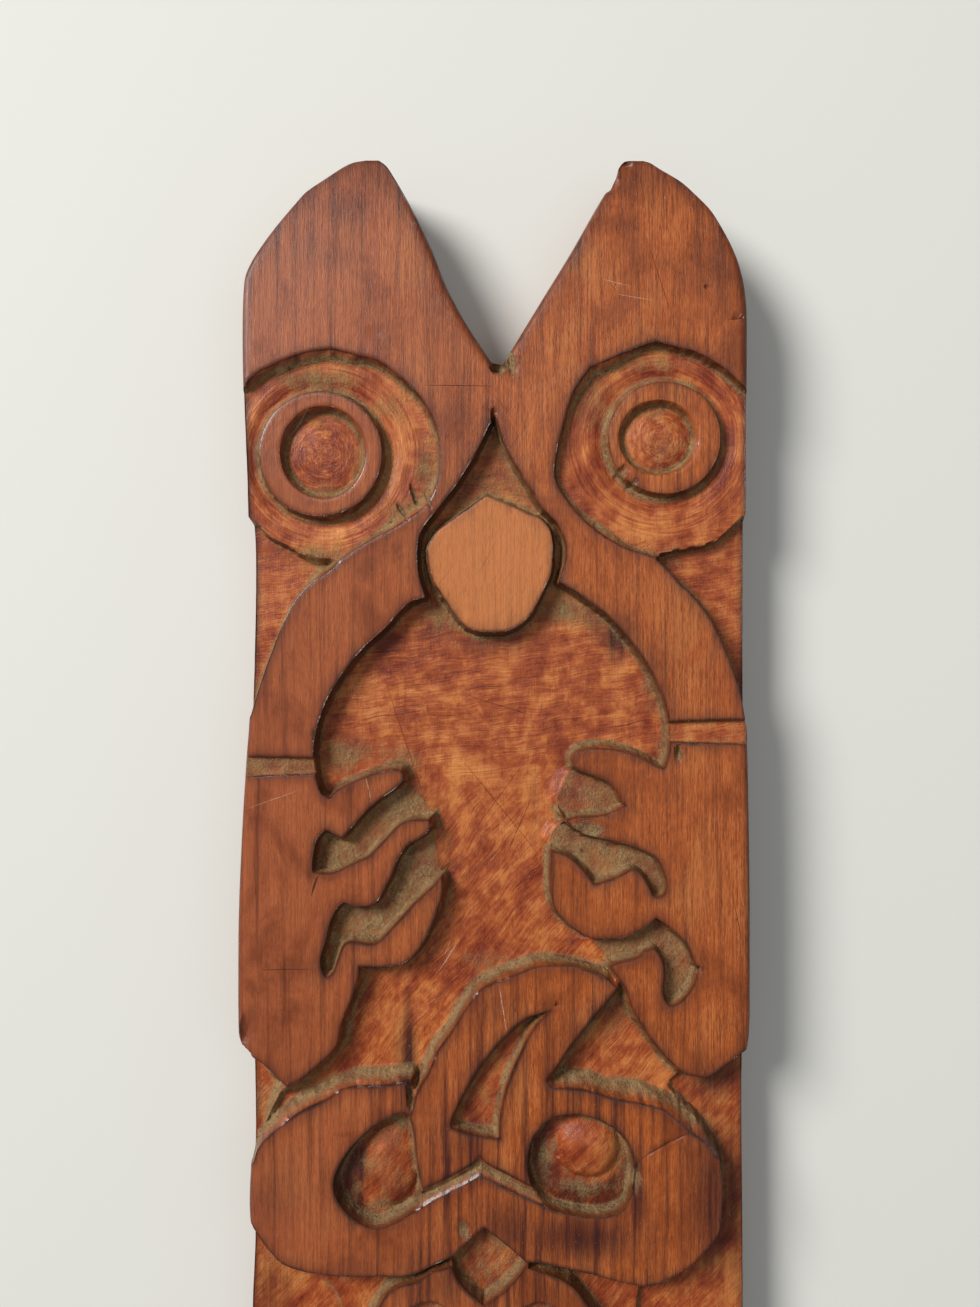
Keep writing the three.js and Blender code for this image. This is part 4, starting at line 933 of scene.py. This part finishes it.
def varnishedWood():
    vector, number = "NodeSocketVector", "NodeSocketFloat"
    grain = shaderGroup("woodGrain", [("Place", vector)], ["Fibre", "Fine", "Streak", "Blotch", "Pore", "PaintedGlint"], grainWires)
    stroke = shaderGroup("toolStrokes", [("Place", vector), ("Turn", number)], ["Broad", "Fine", "Cut"], strokeWires)
    swirl = shaderGroup("roundStrokes", [("Place", vector), ("Middle", vector), ("Side", number)], ["Broad", "Fine", "Near"], roundWires)
    grime = shaderGroup("grime", [("Place", vector)], ["Grit", "Patch", "Dark"], grimeWires)
    score = shaderGroup("score", [("Place", vector), ("Start", vector), ("End", vector), ("Width", number)], ["Line"], scoreWires)
    material = bpy.data.materials.new("varnishedWood")
    material.use_nodes = True
    w = Wiring(material.node_tree)
    shader = material.node_tree.nodes["Principled BSDF"]
    place = w.add("ShaderNodeTexCoord", {}).outputs["Object"]
    axes = w.add("ShaderNodeSeparateXYZ", {0: place}).outputs

    def placed(group, **values):
        node = w.add("ShaderNodeGroup", values, node_tree=group)
        w.tree.links.new(place, node.inputs["Place"])
        return node.outputs

    wood, dirt = placed(grain), placed(grime)
    level, slant, steep, brush = (placed(stroke, Turn=math.radians(turn)) for turn in (83, 40, -38, 31))
    leftEye = placed(swirl, Middle=(-0.0430, 0.1160, 0), Side=1.0)
    rightEye = placed(swirl, Middle=(0.0425, 0.1200, 0), Side=-1.0)
    foot, rim, dust, tone, stainAndShade = (w.mask(name) for name in ("foot", "rim", "dust", "tone", "stainAndShade"))
    times, plus, most = (lambda a, b: w.maths("MULTIPLY", a, b)), (lambda a, b: w.maths("ADD", a, b)), (lambda a, b: w.maths("MAXIMUM", a, b))

    # Raised wood: vertical fibres, a painted rosy sheen towards the left, with blotches and fine slanting scratches
    # across the brow.
    fibres = plus(times(wood["Fibre"], 0.5), times(wood["Fine"], 0.5))
    raised = w.mix(w.ramp(fibres, 0.08, 0.58, 0.12, 1.0), linear("raisedDark"), linear("raisedMiddle"))
    raised = w.mix(w.ramp(plus(times(fibres, 0.6), times(wood["Blotch"], 0.4)), 0.5, 0.95, 0.0, 0.7), raised, linear("raisedLight"))
    raised = w.mix(w.ramp(axes["X"], 0.01, -0.06, 0.0, 0.6), raised, linear("leftSheen"))
    raised = w.mix(w.ramp(wood["Blotch"], 0.45, 0.0, 0.0, 0.5), raised, linear("raisedDark"))
    raised = w.mix(w.ramp(wood["Streak"], 0.62, 1.0, 0.0, 0.45), raised, linear("raisedDark"))
    raised = w.mix(times(tone, w.ramp(fibres, 0.1, 0.8, 0.55, 0.95)), raised, linear("noseTan"))
    raised = w.mix(times(wood["Pore"], w.ramp(wood["Blotch"], 1.0, 0.0, 0.25, 0.6)), raised, linear("raisedDark"))
    browY, browX = w.ramp(axes["Y"], 0.092, 0.118), w.ramp(w.maths("ABSOLUTE", axes["X"]), 0.026, 0.012)
    brow = times(times(browY, w.ramp(axes["Y"], 0.15, 0.135)), browX)
    hatch = most(plus(brush["Cut"], times(w.ramp(brush["Fine"], 0.62, 0.95), 0.6)), times(steep["Cut"], 0.5))
    raised = w.mix(times(hatch, plus(times(most(brow, times(tone, 0.5)), 0.55), 0.07)), raised, linear("raisedDark"))

    # Dark purple streaks run through the lower middle of the board and beside the cuts; the same stain mask also paints
    # shade round the domed eye and the half-moon eye.
    middle = w.ramp(w.maths("ABSOLUTE", plus(axes["X"], -0.006)), 0.052, 0.012)
    low = times(w.ramp(axes["Y"], -0.012, -0.06), middle)
    veins = times(w.ramp(plus(times(wood["Streak"], 0.7), times(wood["Fibre"], 0.3)), 0.45, 0.85), plus(times(low, 0.85), 0.06))
    raised = w.mix(veins, raised, linear("streakPurple"))
    soakedAndShaded = plus(stainAndShade, times(plus(wood["Streak"], wood["Blotch"]), 0.3))
    raised = w.mix(w.ramp(soakedAndShaded, 0.35, 1.25, 0.0, 0.92), raised, linear("streakPurple"))
    raised = w.mix(w.ramp(times(rim, plus(wood["Blotch"], 0.5)), 0.35, 1.1, 0.0, 0.9), raised, linear("edgeDark"))

    # Cut floors: scraped level in the chest's upper part, slanting further down, round the eyes in the bands.
    upper = w.ramp(plus(axes["Y"], times(wood["Blotch"], 0.02)), 0.034, 0.054)
    broad = plus(times(level["Broad"], upper), times(slant["Broad"], w.maths("SUBTRACT", 1.0, upper)))
    thin = plus(times(level["Fine"], upper), times(slant["Fine"], w.maths("SUBTRACT", 1.0, upper)))
    for eye in (leftEye, rightEye):
        broad = plus(times(broad, w.maths("SUBTRACT", 1.0, eye["Near"])), times(eye["Broad"], eye["Near"]))
        thin = plus(times(thin, w.maths("SUBTRACT", 1.0, eye["Near"])), times(eye["Fine"], eye["Near"]))
    worn = plus(plus(times(broad, 0.25), times(thin, 0.22)), plus(times(wood["Blotch"], 0.35), times(dirt["Patch"], 0.18)))
    sunk = w.mix(w.ramp(worn, 0.28, 0.52), linear("floorRed"), linear("floorMiddle"))
    sunk = w.mix(w.ramp(worn, 0.5, 0.78, 0.0, 0.9), sunk, linear("floorAmber"))
    sunk = w.mix(times(wood["Pore"], 0.4), sunk, linear("raisedDark"))
    inChest = times(w.ramp(w.maths("ABSOLUTE", axes["X"]), 0.046, 0.036), w.ramp(axes["Y"], -0.05, -0.03))
    awayFromEyes = w.maths("SUBTRACT", 1.0, most(leftEye["Near"], rightEye["Near"]))
    cuts = times(most(times(level["Cut"], upper), times(slant["Cut"], w.maths("SUBTRACT", 1.0, upper))), times(plus(times(inChest, 0.7), 0.1), awayFromEyes))
    sunk = w.mix(times(cuts, 0.6), sunk, linear("edgeDark"))
    sunk = w.mix(w.ramp(soakedAndShaded, 0.45, 1.2, 0.0, 0.92), sunk, linear("streakPurple"))

    surface = w.mix(w.ramp(foot, 0.5, 0.95), raised, sunk)
    # Cut walls are painted darker than the wood, a painted shade, darkest where they face down and right, away from the
    # light.
    wall = w.ramp(w.mask("steep"), 0.25, 0.8)
    ledgeAndLitSide = w.mask("ledgeAndLitSide")
    bare = w.mix(w.ramp(ledgeAndLitSide, 0.35, 0.75), linear("wallShadowSide"), linear("wallShadedBrown"))
    surface = w.mix(times(wall, w.ramp(dirt["Patch"], 0.0, 1.0, 0.65, 0.92)), surface, bare)
    powder = w.mix(dirt["Grit"], linear("dustMiddle"), linear("dustPale"))
    powder = w.mix(times(dirt["Dark"], 0.7), powder, linear("dustDeep"))
    powder = w.mix(w.ramp(dirt["Patch"], 0.6, 0.0, 0.0, 0.5), powder, linear("dustDeep"))
    cover = w.ramp(plus(dust, times(plus(plus(dirt["Patch"], dirt["Grit"]), -1.0), 0.32)), 0.28, 0.92)
    # Dust stays on walls that face up, and pale powder on walls facing the light is painted light.
    ledgeDustAndLitSide = w.ramp(ledgeAndLitSide, 0.35, 0.8, 0.12, 0.85)
    cover = times(times(cover, w.ramp(foot, 0.1, 0.7)), plus(w.maths("SUBTRACT", 1.0, wall), times(wall, ledgeDustAndLitSide)))
    surface = w.mix(times(cover, 0.9), surface, powder)

    darkLines, paleLines = scoreMask(w, place, score, "dark"), scoreMask(w, place, score, "pale")
    surface = w.mix(times(darkLines, 0.75), surface, linear("edgeDark"))
    surface = w.mix(times(times(paleLines, dirt["Grit"]), 0.9), surface, linear("paleScratchAndGlint"))
    # Tiny pale specks on the raised wood are painted glints.
    surface = w.mix(times(wood["PaintedGlint"], w.maths("SUBTRACT", 0.55, times(cover, 0.5))), surface, linear("paleScratchAndGlint"))
    w.tree.links.new(surface, shader.inputs["Base Color"])

    gloss = plus(w.ramp(wood["Fine"], 0.0, 1.0, 0.40, 0.28), times(cover, 0.45))
    gloss = w.maths("SUBTRACT", gloss, times(rim, 0.12))
    w.tree.links.new(gloss, shader.inputs["Roughness"])
    shader.inputs["Specular IOR Level"].default_value = 0.28
    w.tree.links.new(times(w.maths("SUBTRACT", 1.0, cover), plus(times(rim, 0.35), 0.05)), shader.inputs["Coat Weight"])
    shader.inputs["Coat Roughness"].default_value = 0.14

    ridges = plus(times(wood["Fibre"], 0.03), times(wood["Fine"], 0.03))
    worked = plus(plus(times(broad, 0.1), times(thin, 0.05)), times(cuts, -0.07))
    worked = times(worked, w.ramp(foot, 0.3, 0.9))
    gritty = times(plus(times(dirt["Grit"], 0.13), times(dirt["Patch"], 0.25)), cover)
    chatter = times(times(dirt["Patch"], wall), 0.3)
    lines = plus(times(darkLines, -0.12), times(times(hatch, plus(brow, 0.15)), -0.03))
    height = plus(plus(plus(ridges, worked), plus(gritty, chatter)), lines)
    bump = w.add("ShaderNodeBump", {"Height": height, "Distance": 0.001, "Strength": 1.0})
    w.tree.links.new(bump.outputs["Normal"], shader.inputs["Normal"])
    return material


piece = panelPiece()
piece.data.materials.append(varnishedWood())
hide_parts("carved_panel")
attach(piece, "root")

floorMesh = bpy.data.meshes.new("floorMesh")
floorMesh.from_pydata([(-4, -4, 0), (4, -4, 0), (4, 4, 0), (-4, 4, 0)], [], [(0, 1, 2, 3)])
floor = bpy.data.objects.new("floor", floorMesh)
bpy.context.scene.collection.objects.link(floor)
floorPaint = bpy.data.materials.new("paleFloor")
floorPaint.use_nodes = True
floorPaint.node_tree.nodes["Principled BSDF"].inputs["Base Color"].default_value = (0.78, 0.78, 0.74, 1)
floorPaint.node_tree.nodes["Principled BSDF"].inputs["Roughness"].default_value = 0.8
floorMesh.materials.append(floorPaint)

view = {"distance": 0.26, "height": 0.32675, "across": -0.001, "down": 0.1241}
lens = bpy.data.cameras.new("camera")
lens.sensor_width = 36.0
lens.lens = 36.0 * view["distance"] / view["height"]
lens.clip_start = 0.01
camera = bpy.data.objects.new("camera", lens)
camera.location = (view["across"], 0.19 - view["down"], panel["thickness"] / 1000 + view["distance"])
bpy.context.scene.collection.objects.link(camera)
bpy.context.scene.camera = camera


def areaLight(name, place, aim, size, power, colour):
    data = bpy.data.lights.new(name, "AREA")
    data.shape = "DISK"
    data.size = size
    data.energy = power
    data.color = colour
    light = bpy.data.objects.new(name, data)
    light.location = place
    light.rotation_euler = (Vector(aim) - Vector(place)).to_track_quat("-Z", "Y").to_euler()
    bpy.context.scene.collection.objects.link(light)


areaLight("keyLight", (-2.0, 1.35, 1.9), (0, 0.05, 0), 1.3, 104, (1.0, 0.985, 0.955))
areaLight("fillLight", (0.5, 0.1, 1.3), (0, 0, 0), 1.2, 2, (1.0, 0.99, 0.98))
world = bpy.data.worlds.new("studio")
bpy.context.scene.world = world
world.use_nodes = True
world.node_tree.nodes["Background"].inputs["Color"].default_value = (0.86, 0.88, 0.9, 1)
world.node_tree.nodes["Background"].inputs["Strength"].default_value = 0.24
bpy.context.scene.view_settings.view_transform = "Standard"
